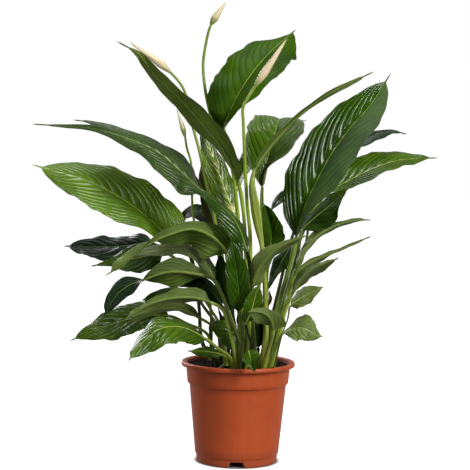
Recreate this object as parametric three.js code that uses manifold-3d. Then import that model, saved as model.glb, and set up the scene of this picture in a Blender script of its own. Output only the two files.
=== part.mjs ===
import * as THREE from 'three';
import { mergeVertices } from 'three/addons/utils/BufferGeometryUtils.js';
import Module from 'manifold-3d';

// A potted peace lily: a clump of lance-shaped leaves and four flowers that are still rolled up,
// growing from peat in a plastic nursery pot. Millimetres, +Z up. The origin is on the pot's
// axis at the ground, and the plant's best side faces -Y.

const wasm = await Module();
wasm.setup();

// Driving dimensions of the pot
const POT_HEIGHT = 150;
const RIM_RADIUS = 85;
const RIM_DEPTH = 6.5;
const RIM_ROUND = 2;
const RIM_INNER_RADIUS = 79;
const SHOULDER_TOP_RADIUS = 78;
const SHOULDER_FOOT_RADIUS = 75.6;
const SHOULDER_FOOT_HEIGHT = 118.5;
const BODY_TOP_RADIUS = 72.6;
const BODY_FOOT_RADIUS = 62.6;
const FOOT_HEIGHT = 12;
const FOOT_TOP_RADIUS = 61.2;
const FOOT_RADIUS = 60.2;
const FOOT_WIDTH = 4;
const WALL = 1.8;
const FLOOR_UNDERSIDE = 10.5;
const STEP_SLOPE = 1.2;
const NOTCH_COUNT = 3;
const NOTCH_WIDTH = 23;
const NOTCH_HEIGHT = 9;
const HOLE_COUNT = 6;
const HOLE_RADIUS = 5;
const HOLE_RING_RADIUS = 38;
const HOLE_SEGMENTS = 12;
const POT_SEGMENTS = 48;

// The peat stands a little below the rim and keeps a small gap to the wall.
const SOIL_TOP = 145;
const GAP = 0.3;
const SOIL_CLEARANCE = 0.5;

// Every leaf and stalk is a loft of eight-sided sections.
const SIDES = 8;
const STEM_STATIONS = 5;
const BLADE_STATIONS = [0.05, 0.14, 0.27, 0.42, 0.57, 0.72, 0.84, 0.93, 1];
const STALK_STATIONS = 12;
const BUD_STATIONS = [0, 0.06, 0.18, 0.36, 0.56, 0.76, 0.9, 1];
const LENGTH_SAMPLES = 120;
const STEM_FLARE = 1.3;
const BLADE_TIP_RADIUS = 0.4;
const BLADE_EDGE_SWELL = 0.05;

// The places along a blade where its seen widths are given. They are nought at its foot, and from
// where the drip tip starts, which is at the tail or at this limit.
const SEEN_AT = [0, 0.1, 0.3, 0.5, 0.7, 0.9];
const TAIL_LIMIT = 0.94;

// A sheath is widest at this part of the stalk's length and fades out over this part of it.
const SHEATH_PLACE = 0.83;
const SHEATH_LENGTH = 0.14;

// A flower stalk thins towards its top. A rolled spathe is widest low down and tapers by a power.
const STALK_TOP = 0.8;
const SPATHE_WIDEST = 0.3;
const SPATHE_POWER = 0.7;

const UP = new THREE.Vector3(0, 0, 1);
const FRONT = new THREE.Vector3(0, -1, 0);

// Each leaf is one grown piece. base is where it leaves the soil (x, y), stem are points up its
// stalk, and blade are points along the midrib, from the foot of the blade to the tip. half is
// half the blade's width, outline its two shape powers, tail the part of its length that the thin
// drip tip takes, and stalk the stalk's radius. left and right are how wide each half looks from
// the front, at a tenth, three, five, seven and nine tenths of the length, and negative where the
// underside shows. near is how much each edge stands towards the front, as a part of the rest of
// its width, and nearTip is the same at the tip of a leaf that turns over on its way. A leaf is
// seen from the front unless facing says otherwise, and sheath widens the upper stalk.
const leaves = [
  {
    name: 'high_left_leaf', half: 31, outline: [0.65, 0.95], tail: 0.1, stalk: 2.6,
    left: [-13, -15, -11, -10, -3], right: [-6, -12, -16, -11, -3], near: [1, -1],
    base: [10, -14],
    stem: [[10, -14, 243], [7, -20, 340], [1, -22, 394]],
    blade: [
      [-5, -26, 419], [-25, -32, 464], [-55, -38, 501], [-88, -46, 537], [-125, -54, 570],
      [-152, -62, 601], [-182, -70, 618],
    ],
  },
  {
    name: 'tall_leaf', half: 52, outline: [0.6, 0.7], tail: 0.05, stalk: 2.6,
    left: [31, 46, 42, 32, 8], right: [11, 25, 36, 36, 15], near: [-1, 1],
    base: [0, 10],
    stem: [[5, 12, 256], [-4, 13, 368], [-16, 8, 451]],
    blade: [[-27, 4, 495], [-14, 12, 533], [10, 32, 576], [44, 66, 619], [81, 108, 654]],
  },
  {
    name: 'far_left_leaf', half: 38, outline: [0.35, 2.4], tail: 0.05, stalk: 2.4,
    left: [25, 19, 12, 4, 1.5], right: [16, 14, 11, 5, 1.5], near: [1, -1],
    base: [14, 2],
    stem: [[17, 4, 264], [4, 4, 337], [-28, 2, 382]],
    blade: [
      [-60, -2, 405], [-87, -10, 430], [-125, -18, 461], [-169, -26, 480], [-215, -34, 493],
      [-261, -42, 496], [-305, -50, 498],
    ],
  },
  {
    name: 'shadow_left_leaf', half: 16, outline: [0.65, 0.95], tail: 0.05, stalk: 2,
    left: [4, 8, 8, 6, 2], right: [3, 4, 4, 3, 2], near: [1, -1],
    base: [-30, 40],
    stem: [[-20, 46, 252], [-40, 48, 359], [-63, 48, 412]],
    blade: [[-84, 46, 440], [-124, 46, 470], [-170, 46, 487], [-216, 48, 502], [-256, 50, 507]],
  },
  {
    name: 'inner_edge_leaf', half: 24, outline: [0.5, 0.9], tail: 0.1, stalk: 2.4,
    left: [17, 20, 13, 6, 2], right: [6, 5, 3, 2, 1], near: [1, -1],
    base: [18, -36],
    stem: [[21, -48, 203], [16, -58, 285]],
    blade: [[10, -66, 319], [-7, -62, 362], [-31, -56, 386], [-56, -48, 402], [-90, -38, 413]],
  },
  {
    name: 'glossy_centre_leaf', half: 26, outline: [0.65, 0.95], tail: 0.05, stalk: 2.4,
    left: [15, 22, 19, 14, 5], right: [8, 16, 14, 10, 4], near: [1, -1],
    base: [-2, 24],
    stem: [[3, 26, 239], [0, 30, 307]],
    blade: [[-5, 34, 357], [-21, 37, 396], [-39, 39, 442], [-54, 41, 480], [-66, 42, 507]],
  },
  {
    name: 'back_peak_leaf', half: 16, outline: [0.65, 0.95], tail: 0.05, stalk: 2,
    left: [8, 12, 12, 9, 3], right: [8, 13, 13, 9, 3], near: [1, -1],
    base: [6, 44],
    stem: [[1, 58, 236], [-14, 68, 304]],
    blade: [[-33, 74, 339], [-46, 78, 376], [-56, 82, 409], [-63, 88, 446]],
  },
  {
    name: 'back_dark_leaf', half: 24, outline: [0.65, 0.95], tail: 0.05, stalk: 2,
    left: [8, 13, 13, 9, 4], right: [9, 13, 8, 8, 5], near: [1, -1],
    base: [-26, 50],
    stem: [[-17, 70, 219], [-31, 90, 291]],
    blade: [[-44, 100, 342], [-57, 116, 361], [-70, 136, 366], [-84, 158, 364], [-99, 178, 350]],
  },
  {
    name: 'left_arch_leaf', half: 42, outline: [0.45, 0.95], tail: 0.04, stalk: 2.4,
    left: [-20, -12, -9, -2, 3], right: [-34, -26, -11, 8, 10], near: [-0.5, -0.7], nearTip: [0.6, -0.7],
    base: [10, -40],
    stem: [[12, -46, 203], [0, -50, 284]],
    blade: [
      [-16, -56, 313], [-40, -64, 339], [-69, -74, 351], [-98, -86, 345], [-129, -96, 331],
      [-161, -104, 305], [-191, -108, 284],
    ],
  },
  {
    name: 'bright_left_leaf', half: 46, outline: [0.6, 0.75], tail: 0.05, stalk: 2.6,
    left: [11, 16, 34, 31, 12], right: [34, 42, 37, 27, 9], near: [1, -1],
    base: [-28, 10],
    stem: [[-53, 14, 171], [-61, 18, 233]],
    blade: [
      [-77, 24, 308], [-103, 28, 327], [-137, 32, 358], [-182, 36, 390], [-243, 40, 419],
      [-283, 42, 429], [-318, 44, 438],
    ],
  },
  {
    name: 'blue_left_leaf', half: 34, outline: [0.6, 0.75], tail: 0.05, stalk: 2.2,
    left: [20, 24, 20, 12, 3], right: [9, 16, 14, 13, 7], near: [1, -1],
    base: [-26, 28],
    stem: [[-33, 38, 196], [-57, 48, 230], [-95, 62, 292]],
    blade: [[-136, 70, 320], [-178, 84, 314], [-223, 98, 311], [-277, 116, 310]],
  },
  {
    name: 'low_tail_leaf', half: 25, outline: [0.5, 0.8], tail: 0.2, stalk: 2,
    left: [20, 22, 17, 6, 1.5], right: [10, 18, 17, 8, 2], near: [1, -1],
    base: [-20, 22],
    stem: [[-25, 24, 193], [-52, 26, 238], [-83, 30, 286]],
    blade: [[-114, 32, 308], [-149, 34, 301], [-185, 38, 293], [-227, 44, 285]],
  },
  {
    name: 'folded_left_leaf', half: 24, outline: [0.5, 0.9], tail: 0.05, stalk: 2.4,
    left: [7, 9, 8, 7, 3], right: [8, 8, 7, 6, 3], near: [1, -1],
    base: [2, -28],
    stem: [[2, -34, 179], [-12, -36, 219], [-26, -38, 254]],
    blade: [
      [-36, -38, 273], [-53, -36, 301], [-75, -32, 318], [-106, -26, 318], [-136, -20, 314],
      [-166, -14, 303],
    ],
  },
  {
    name: 'twisted_left_leaf', half: 34, outline: [0.6, 0.75], tail: 0.05, stalk: 2.6,
    left: [-7, -20, -7, 12, 6], right: [-6, -24, -8, 15, 8], near: [-0.7, -0.4], nearTip: [1, -0.4],
    base: [6, -50],
    stem: [[7, -54, 171], [-9, -58, 211], [-27, -62, 259]],
    blade: [
      [-39, -64, 278], [-65, -70, 286], [-101, -78, 289], [-136, -86, 279], [-171, -92, 260],
      [-196, -96, 220],
    ],
  },
  {
    name: 'small_left_leaf', half: 16, outline: [0.65, 0.95], tail: 0.05, stalk: 1.8,
    left: [10, 14, 14, 10, 4], right: [3, 6, 8, 9, 4], near: [1, -1],
    base: [-8, -10],
    stem: [[-4, -12, 183], [-25, -18, 228]],
    blade: [[-64, -24, 253], [-94, -30, 254], [-121, -36, 248], [-144, -40, 243]],
  },
  {
    name: 'low_arch_leaf', half: 26, outline: [0.65, 0.95], tail: 0.05, stalk: 2.2,
    left: [-12, -13, -8, -4, -5], right: [-6, -9, -10, -8, -4], near: [-0.7, -0.7],
    base: [-2, -56],
    stem: [[-8, -62, 182], [-25, -74, 236]],
    blade: [[-42, -80, 246], [-62, -88, 253], [-96, -98, 253], [-130, -106, 243], [-162, -112, 223]],
  },
  {
    name: 'low_left_leaf', half: 31, outline: [0.7, 1.05], tail: 0.05, stalk: 2.2,
    left: [11, 20, 22, 14, 4], right: [18, 22, 21, 15, 6], near: [1, -1],
    base: [-32, -12],
    stem: [[-47, -10, 191], [-76, -6, 205]],
    blade: [[-105, -2, 216], [-150, 4, 213], [-197, 12, 198], [-255, 22, 173]],
  },
  {
    name: 'low_band_leaf', half: 20, outline: [0.65, 0.95], tail: 0.05, stalk: 2,
    left: [-7, -9, -10, -9, -4], right: [-5, -7, -8, -6, -3], near: [-0.7, -0.7],
    base: [-17, -20],
    stem: [[-25, -20, 181], [-40, -24, 205]],
    blade: [[-57, -33, 217], [-84, -50, 232], [-118, -60, 233], [-165, -68, 211]],
  },
  {
    name: 'front_left_leaf', half: 33, outline: [0.7, 1], tail: 0.03, stalk: 2.4,
    left: [10, 17, 23, 21, 9], right: [4, 6, 9, 9, 6], near: [1, -1],
    base: [-8, -64],
    stem: [[-12, -72, 165], [-30, -82, 180]],
    blade: [[-47, -90, 194], [-78, -110, 212], [-107, -132, 214], [-133, -154, 197], [-152, -175, 173]],
  },
  {
    name: 'soil_leaf', half: 11, outline: [0.65, 0.95], tail: 0.05, stalk: 1.6,
    left: [4, 7, 8, 7, 2], right: [3, 5, 6, 4, 1], near: [1, -1],
    base: [-26, -50],
    stem: [[-17, -54, 160]],
    blade: [[-22, -56, 166], [-40, -54, 170], [-58, -50, 171], [-75, -46, 170]],
  },
  {
    name: 'rim_leaf', half: 14, outline: [0.65, 0.7], tail: 0.05, stalk: 1.6,
    left: [9, 14, 13, 8, 3], right: [8, 12, 11, 8, 3], near: [1, 1],
    base: [10, -68],
    stem: [[15, -74, 165]],
    blade: [[15, -80, 176], [17, -92, 169], [20, -98, 160], [24, -100, 149]],
  },
  {
    name: 'striped_right_leaf', half: 49, outline: [0.6, 0.85], tail: 0.05, stalk: 3,
    left: [26, 46, 43, 35, 13], right: [8, 23, 29, 29, 13], near: [-0.4, 1],
    base: [46, -6],
    stem: [[50, -8, 198], [62, -10, 251], [76, -12, 301]],
    blade: [
      [83, -12, 337], [94, -8, 380], [113, -2, 423], [133, 4, 461], [161, 12, 501], [191, 20, 536],
      [222, 30, 585],
    ],
  },
  {
    name: 'right_back_leaf', half: 30, outline: [0.65, 0.95], tail: 0.08, stalk: 2.4,
    left: [20, 28, 23, 13, 4], right: [10, 11, 12, 10, 2], near: [-1, 1],
    base: [50, 18],
    stem: [[68, 40, 239], [98, 66, 345]],
    blade: [[132, 86, 400], [168, 102, 421], [209, 120, 441], [251, 140, 454], [314, 166, 459]],
  },
  {
    name: 'right_grey_leaf', half: 26, outline: [0.65, 0.8], tail: 0.08, stalk: 2.2,
    left: [8, 12, 9, 6, 2], right: [6, 8, 8, 7, 2], near: [-1, 1],
    base: [38, 34],
    stem: [[57, 56, 237], [92, 90, 367]],
    blade: [[132, 118, 440], [168, 134, 470], [204, 148, 490], [237, 160, 500], [265, 172, 496]],
  },
  {
    name: 'right_dark_leaf', half: 28, outline: [0.65, 0.95], tail: 0.05, stalk: 2.4,
    left: [4, 8, 11, 11, 5], right: [14, 24, 20, 8, 2], near: [-1, 1],
    base: [50, 10],
    stem: [[68, 24, 240], [87, 36, 308]],
    blade: [[94, 40, 345], [112, 44, 364], [133, 50, 381], [165, 58, 411]],
  },
  {
    name: 'edge_right_leaf', half: 20, outline: [0.4, 0.9], tail: 0.1, stalk: 2.8, sheath: 6,
    left: [-5, -4, -4, -5, -3], right: [-5, -4, -3, -3, -2], near: [-0.4, 0.4],
    base: [32, -36],
    stem: [
      [40, -52, 195], [38, -62, 234], [35, -70, 293], [31, -69, 328], [24, -64, 359], [19, -60, 388],
      [15, -54, 417],
    ],
    blade: [
      [19, -48, 437], [32, -44, 461], [55, -46, 490], [86, -52, 522], [123, -60, 549],
      [156, -66, 566], [187, -70, 581],
    ],
  },
  {
    name: 'round_back_leaf', half: 45, outline: [0.65, 0.6], tail: 0.04, stalk: 2.4, facing: UP,
    left: [14, 36, 43, 36, 20], right: [9, 36, 45, 44, 24], near: [0.6, 0.6],
    base: [24, 32],
    stem: [[29, 36, 238], [33, 40, 345]],
    blade: [
      [32, 46, 409], [39, 60, 448], [48, 82, 481], [55, 114, 506], [60, 148, 516], [68, 178, 502],
    ],
  },
  {
    name: 'dark_standing_leaf', half: 22, outline: [0.65, 0.8], tail: 0.04, stalk: 2.2,
    left: [12, 15, 14, 10, 6], right: [12, 20, 17, 10, 5], near: [0.8, 0.8],
    base: [34, -26],
    stem: [[40, -32, 216], [40, -36, 283]],
    blade: [[44, -40, 319], [45, -42, 344], [43, -44, 363], [38, -46, 378], [33, -48, 389]],
  },
  {
    name: 'right_curl_leaf', half: 15, outline: [0.65, 0.95], tail: 0.05, stalk: 2,
    left: [6, 9, 9, 6, 2], right: [6, 9, 9, 6, 2], near: [1, -1],
    base: [40, 44],
    stem: [[78, 60, 237], [105, 76, 352]],
    blade: [[98, 80, 387], [79, 76, 398], [59, 70, 390], [45, 62, 372]],
  },
  {
    name: 'front_glossy_leaf', half: 22, outline: [0.65, 0.95], tail: 0.05, stalk: 2.2,
    left: [9, 17, 17, 12, 5], right: [8, 16, 17, 13, 5], near: [1, 0.4],
    base: [2, -62],
    stem: [[6, -72, 194]],
    blade: [[0, -80, 233], [-1, -86, 262], [-6, -94, 300], [-14, -100, 342]],
  },
  {
    name: 'front_small_leaf', half: 16, outline: [0.65, 0.95], tail: 0.05, stalk: 1.8,
    left: [8, 12, 13, 10, 4], right: [6, 12, 14, 11, 5], near: [0.2, -0.6],
    base: [13, -56],
    stem: [[18, -74, 184]],
    blade: [[10, -96, 217], [17, -103, 236], [21, -105, 253], [27, -106, 276]],
  },
  {
    name: 'grey_fold_leaf', half: 23, outline: [0.5, 0.45], tail: 0.02, stalk: 1.8,
    left: [-19, -16, -9, -6, -3], right: [-6, -15, -19, -16, -8], near: [-0.2, -0.3],
    base: [36, -60],
    stem: [[44, -76, 178]],
    blade: [[49, -102, 210], [45, -112, 226], [36, -118, 235], [25, -122, 238], [12, -124, 238]],
  },
  {
    name: 'centre_arch_leaf', half: 23, outline: [0.65, 0.95], tail: 0.05, stalk: 2.4,
    left: [-12, -12, -8, -7, -4], right: [-6, -15, -9, -5, -2], near: [-0.7, -0.7],
    base: [24, -64],
    stem: [[22, -72, 199], [17, -78, 243]],
    blade: [[18, -84, 267], [26, -96, 295], [42, -108, 318], [63, -118, 334], [94, -126, 348]],
  },
  {
    name: 'right_edge_leaf', half: 24, outline: [0.5, 0.8], tail: 0.05, stalk: 2.4,
    left: [-6, -7, -5, -5, -2], right: [-5, -6, -6, -4, -3], near: [-0.7, -0.7],
    base: [51, 1],
    stem: [[60, 2, 197], [76, 8, 248]],
    blade: [
      [85, 12, 289], [95, 15, 313], [111, 20, 334], [137, 27, 351], [169, 38, 361], [199, 50, 363],
    ],
  },
  {
    name: 'right_thin_leaf', half: 18, outline: [0.65, 0.95], tail: 0.05, stalk: 2.2,
    left: [-5, -6, -4, -3, -1], right: [-2, -3, -3, -2, -1], near: [-0.7, -0.7],
    base: [50, -20],
    stem: [[61, -20, 193], [72, -22, 245]],
    blade: [[80, -22, 281], [98, -22, 298], [124, -22, 311], [156, -22, 325], [193, -22, 342]],
  },
  {
    name: 'right_low_leaf', half: 20, outline: [0.65, 0.95], tail: 0.05, stalk: 2.4,
    left: [-5, -11, -12, -8, -3], right: [-5, -7, -5, -3, -1], near: [-0.7, -0.7],
    base: [41, -34],
    stem: [[48, -40, 188], [66, -44, 236]],
    blade: [[77, -48, 257], [88, -54, 277], [104, -64, 294], [122, -76, 304], [141, -88, 314]],
  },
  {
    name: 'small_right_leaf', half: 15, outline: [0.65, 0.95], tail: 0.05, stalk: 1.1,
    left: [5, 9, 12, 9, 3], right: [8, 11, 12, 8, 3], near: [-1, 1],
    base: [53, -38],
    stem: [[62, -54, 193], [71, -62, 223]],
    blade: [[74, -66, 241], [85, -72, 251], [99, -78, 260], [120, -86, 272]],
  },
  {
    name: 'low_right_leaf', half: 22, outline: [1, 1.3], tail: 0.05, stalk: 1.6,
    left: [2, 12, 18, 11, 3], right: [4, 13, 18, 15, 7], near: [-1, 1],
    base: [44, -54],
    stem: [[55, -62, 180]],
    blade: [[64, -72, 202], [77, -78, 209], [91, -86, 212], [105, -94, 207], [120, -100, 201]],
  },
  {
    name: 'drooping_leaf', half: 18, outline: [0.65, 0.95], tail: 0.12, stalk: 2.2,
    left: [4, 12, 9, 4, 2], right: [3, 12, 8, 4, 2], near: [1, -1],
    base: [36, 10],
    stem: [[56, 12, 211], [70, 18, 279], [78, 22, 317]],
    blade: [[77, 20, 326], [68, 14, 308], [57, 6, 290], [46, -2, 268], [38, -8, 252]],
  },
  {
    name: 'shade_leaf', half: 22, outline: [0.5, 0.6], tail: 0.05, stalk: 1.8,
    left: [17, 20, 18, 13, 6], right: [3, 5, 5, 4, 2], near: [-0.2, 0.5],
    base: [-30, -30],
    stem: [[-39, -32, 170]],
    blade: [[-41, -35, 209], [-32, -37, 199], [-22, -38, 188], [-11, -38, 177], [-1, -38, 169]],
  },
  {
    name: 'inner_dark_leaf', half: 15, outline: [0.65, 0.95], tail: 0.05, stalk: 2,
    left: [7, 12, 14, 11, 4], right: [6, 11, 12, 9, 3], near: [0.3, -1],
    base: [-8, -24],
    stem: [[-2, -21, 184]],
    blade: [[-10, -18, 225], [-20, -18, 258], [-26, -18, 288], [-30, -20, 316]],
  },
  {
    name: 'under_fold_leaf', half: 18, outline: [0.65, 0.95], tail: 0.05, stalk: 2,
    left: [6, 12, 13, 9, 4], right: [6, 10, 11, 9, 3], near: [0.1, -0.2],
    base: [-8, -47],
    stem: [[-11, -54, 196]],
    blade: [[-25, -50, 238], [-40, -50, 258], [-58, -52, 270], [-78, -53, 272], [-98, -55, 266]],
  },
  {
    name: 'low_back_leaf', half: 17, outline: [0.65, 0.95], tail: 0.05, stalk: 2,
    left: [8, 14, 15, 11, 4], right: [7, 12, 13, 10, 4], near: [0.6, -0.6],
    base: [2, 38],
    stem: [[6, 39, 161]],
    blade: [[7, 40, 179], [11, 42, 210], [12, 44, 237], [10, 46, 268]],
  },
  {
    name: 'centre_back_leaf', half: 15, outline: [0.65, 0.95], tail: 0.05, stalk: 2,
    left: [9, 12, 13, 10, 4], right: [9, 13, 13, 10, 4], near: [-0.6, 0.6],
    base: [26, 4],
    stem: [[30, 5, 160]],
    blade: [[30, 6, 169], [29, 8, 196], [25, 9, 229], [17, 11, 263]],
  },
  {
    name: 'veined_back_leaf', half: 20, outline: [0.65, 0.95], tail: 0.05, stalk: 2,
    left: [5, 11, 16, 12, 4], right: [4, 8, 9, 8, 3], near: [-1, 1],
    base: [16, 48],
    stem: [[9, 70, 250], [-4, 78, 350]],
    blade: [[-8, 82, 399], [3, 86, 432], [21, 96, 466], [41, 110, 490]],
  },
  {
    name: 'withered_leaf', half: 6, outline: [0.65, 0.95], tail: 0.05, stalk: 1.4,
    left: [2, 3, 3, 2, 1], right: [2, 3, 3, 2, 1], near: [1, 1],
    base: [-21, -8],
    stem: [[-14, -8, 175]],
    blade: [[-19, -8, 199], [-25, -8, 212], [-31, -8, 230]],
  },
  {
    name: 'curled_bract', half: 6, outline: [0.65, 0.95], tail: 0.05, stalk: 1.6,
    left: [2, 3, 3, 2, 1], right: [2, 3, 3, 2, 1], near: [1, 1],
    base: [30, -4],
    stem: [[44, -4, 198]],
    blade: [[43, -4, 234], [46, -4, 244], [44, -4, 258]],
  },
];

// Each flower is a stalk and the rolled spathe at its top. bud holds the foot and the tip of the
// spathe, and fat is its largest radius.
const flowers = [
  {
    name: 'top_flower', radius: 2.6, fat: 6, base: [-8, 34],
    stem: [
      [-11, 42, 237], [-28, 58, 358], [-39, 60, 450], [-46, 57, 506], [-56, 52, 550], [-61, 51, 592],
      [-58, 49, 621],
    ],
    bud: [[-50, 46, 654], [-28, 44, 688]],
  },
  {
    name: 'right_flower', radius: 2.6, fat: 6, base: [12, -30],
    stem: [
      [16, -30, 245], [14, -36, 343], [9, -44, 386], [4, -54, 457], [1, -58, 509], [0, -60, 526],
      [6, -61, 539],
    ],
    bud: [[17, -62, 557], [62, -66, 627]],
  },
  {
    name: 'left_flower', radius: 2.4, fat: 6, base: [-14, -4],
    stem: [
      [-20, 2, 241], [-40, 10, 368], [-53, 12, 419], [-64, 16, 465], [-74, 20, 499], [-88, 18, 554],
    ],
    bud: [[-108, 14, 579], [-169, 10, 623]],
  },
  {
    name: 'small_flower', radius: 2, fat: 4, base: [-42, 34],
    stem: [[-43, 34, 222], [-72, 38, 366], [-77, 36, 448], [-83, 34, 467]],
    bud: [[-86, 32, 484], [-99, 32, 526]],
  },
];

// A closed, indexed copy of a geometry, with only its shared corner points.
function closed(geometry) {
  const bare = geometry.clone();
  bare.deleteAttribute('normal');
  bare.deleteAttribute('uv');
  const merged = mergeVertices(bare);
  const corners = merged.index.array;
  const kept = [];
  for (let i = 0; i < corners.length; i += 3) {
    const [a, b, c] = [corners[i], corners[i + 1], corners[i + 2]];
    if (a !== b && b !== c && c !== a) {
      kept.push(a, b, c);
    }
  }
  merged.setIndex(kept);
  return merged;
}

function toSolid(geometry) {
  const mesh = closed(geometry);
  const vertProperties = new Float32Array(mesh.attributes.position.array);
  const triVerts = new Uint32Array(mesh.index.array);
  return new wasm.Manifold(new wasm.Mesh({ numProp: 3, vertProperties, triVerts }));
}

function toGeometry(solid) {
  const mesh = solid.getMesh();
  const geometry = new THREE.BufferGeometry();
  geometry.setAttribute('position', new THREE.BufferAttribute(mesh.vertProperties, 3));
  geometry.setIndex(new THREE.BufferAttribute(mesh.triVerts, 1));
  return geometry;
}

// A body of revolution about Z from (radius, height) pairs.
function turned(profile, segments) {
  const points = profile.map(([radius, height]) => new THREE.Vector2(radius, height));
  return new THREE.LatheGeometry(points, segments).rotateX(Math.PI / 2);
}

// The outer wall of the pot from the foot ring up to the underside of the rim.
function outerWall() {
  return [
    [FOOT_RADIUS, 0],
    [FOOT_TOP_RADIUS, FOOT_HEIGHT],
    [BODY_FOOT_RADIUS, FOOT_HEIGHT + STEP_SLOPE],
    [BODY_TOP_RADIUS, SHOULDER_FOOT_HEIGHT - STEP_SLOPE],
    [SHOULDER_FOOT_RADIUS, SHOULDER_FOOT_HEIGHT],
    [SHOULDER_TOP_RADIUS, POT_HEIGHT - RIM_DEPTH],
  ];
}

// The same wall seen from inside: offset by the wall's thickness, above the floor.
function innerWall(offset) {
  const floor = FLOOR_UNDERSIDE + offset;
  return [
    [FOOT_TOP_RADIUS - offset, floor],
    [FOOT_TOP_RADIUS - offset, FOOT_HEIGHT + STEP_SLOPE / 2],
    [BODY_FOOT_RADIUS - offset, FOOT_HEIGHT + 2 * STEP_SLOPE],
    [BODY_TOP_RADIUS - offset, SHOULDER_FOOT_HEIGHT],
    [SHOULDER_FOOT_RADIUS - offset, SHOULDER_FOOT_HEIGHT + STEP_SLOPE],
  ];
}

function makePot() {
  const inside = innerWall(WALL).reverse();
  const shell = toSolid(turned([
    [0, FLOOR_UNDERSIDE],
    [FOOT_RADIUS - FOOT_WIDTH, FLOOR_UNDERSIDE],
    [FOOT_RADIUS - FOOT_WIDTH, 0],
    ...outerWall(),
    [RIM_RADIUS - RIM_ROUND, POT_HEIGHT - RIM_DEPTH],
    [RIM_RADIUS, POT_HEIGHT - RIM_DEPTH + RIM_ROUND / 2],
    [RIM_RADIUS, POT_HEIGHT - RIM_ROUND],
    [RIM_RADIUS - RIM_ROUND, POT_HEIGHT],
    [RIM_INNER_RADIUS, POT_HEIGHT],
    [SHOULDER_TOP_RADIUS - WALL, POT_HEIGHT - RIM_ROUND],
    ...inside,
    [0, FLOOR_UNDERSIDE + WALL],
  ], POT_SEGMENTS));
  const cuts = [];
  for (let i = 0; i < NOTCH_COUNT; i += 1) {
    const angle = -Math.PI / 2 + (i * 2 * Math.PI) / NOTCH_COUNT;
    const notch = new THREE.BoxGeometry(4 * FOOT_WIDTH, NOTCH_WIDTH, 2 * NOTCH_HEIGHT);
    notch.translate(FOOT_RADIUS, 0, 0).rotateZ(angle);
    cuts.push(toSolid(notch));
  }
  for (let i = 0; i < HOLE_COUNT; i += 1) {
    const angle = ((i + 0.5) * 2 * Math.PI) / HOLE_COUNT;
    const hole = new THREE.CylinderGeometry(HOLE_RADIUS, HOLE_RADIUS, 6 * WALL, HOLE_SEGMENTS);
    hole.rotateX(Math.PI / 2).translate(HOLE_RING_RADIUS, 0, FLOOR_UNDERSIDE).rotateZ(angle);
    cuts.push(toSolid(hole));
  }
  return toGeometry(cuts.reduce((solid, cut) => solid.subtract(cut), shell));
}

function makeSoil() {
  const side = innerWall(WALL + SOIL_CLEARANCE);
  const [, bottom] = side[0];
  const top = [SHOULDER_TOP_RADIUS - WALL - 2 * SOIL_CLEARANCE, SOIL_TOP];
  return closed(turned([[0, bottom], ...side, top, [0, SOIL_TOP]], POT_SEGMENTS));
}

// A closed skin through stations along a spine. Each station is a function that takes a point
// (x, z) of the unit circle to its place. The lower side is split into triangles as the mirror
// image of the upper side, so that the two stay parallel where a blade twists.
function loft(stations) {
  const corners = stations.flatMap((place) => Array.from({ length: SIDES }, (_, i) => {
    const angle = (2 * Math.PI * i) / SIDES;
    return place(Math.sin(angle), Math.cos(angle));
  }));
  const last = stations.length - 1;
  const at = (row, i) => row * SIDES + (i % SIDES);
  const faces = [];
  for (let i = 0; i < SIDES; i += 1) {
    const lower = i >= SIDES / 4 && i < (3 * SIDES) / 4;
    for (let row = 0; row < last; row += 1) {
      const [a, b, c, d] = [at(row, i), at(row, i + 1), at(row + 1, i + 1), at(row + 1, i)];
      faces.push(...(lower ? [a, b, d, b, c, d] : [a, b, c, a, c, d]));
    }
    faces.push(at(0, 0), at(0, i + 1), at(0, i), at(last, 0), at(last, i), at(last, i + 1));
  }
  return closed(new THREE.BufferGeometry().setFromPoints(corners).setIndex(faces));
}

function spineOf(base, rest) {
  const points = [[base[0], base[1], SOIL_TOP + GAP], ...rest].map((p) => new THREE.Vector3(...p));
  return new THREE.CatmullRomCurve3(points, false, 'centripetal');
}

// Curve parameters between from and to at the given fractions of the length between them.
function spread(curve, from, to, fractions) {
  const lengths = [0];
  let last = curve.getPoint(from);
  for (let i = 1; i <= LENGTH_SAMPLES; i += 1) {
    const next = curve.getPoint(from + ((to - from) * i) / LENGTH_SAMPLES);
    lengths.push(lengths[i - 1] + last.distanceTo(next));
    last = next;
  }
  return fractions.map((fraction) => {
    const wanted = fraction * lengths[LENGTH_SAMPLES];
    const above = Math.max(1, lengths.findIndex((length) => length >= wanted));
    const part = (wanted - lengths[above - 1]) / (lengths[above] - lengths[above - 1]);
    return from + ((to - from) * (above - 1 + part)) / LENGTH_SAMPLES;
  });
}

// The value at s of a list of widths that belong to the places in SEEN_AT.
function widthAt(values, s, tail) {
  const all = [0, ...values, 0];
  const places = [...SEEN_AT, Math.max(1 - tail, TAIL_LIMIT)];
  if (s >= places.at(-1)) {
    return 0;
  }
  const above = Math.max(1, places.findIndex((place) => place >= s));
  const part = (s - places[above - 1]) / (places[above] - places[above - 1]);
  return THREE.MathUtils.lerp(all[above - 1], all[above], part);
}

// The part of a direction that stands square to another, at length one.
function square(direction, forward) {
  return direction.clone().addScaledVector(forward, -direction.dot(forward)).normalize();
}

// The blade's half width at s, as a part of its largest half width. The two powers round its base
// and its point, and the tail is the part of its length that the thin drip tip takes.
function bladeShape(s, [basePower, tipPower], tail) {
  const widest = basePower / (basePower + tipPower);
  const q = Math.min(1, s / (1 - tail));
  return (q / widest) ** basePower * ((1 - q) / (1 - widest)) ** tipPower;
}

// One half of a blade: the way from the midrib to its edge. It looks as wide as seen says, and
// the rest of its width stands towards the front or away from it.
function halfOf(across, depth, width, seen, near) {
  const deep = near * Math.sqrt(Math.max(0, width ** 2 - seen ** 2));
  return across.clone().multiplyScalar(seen).addScaledVector(depth, deep);
}

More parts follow.
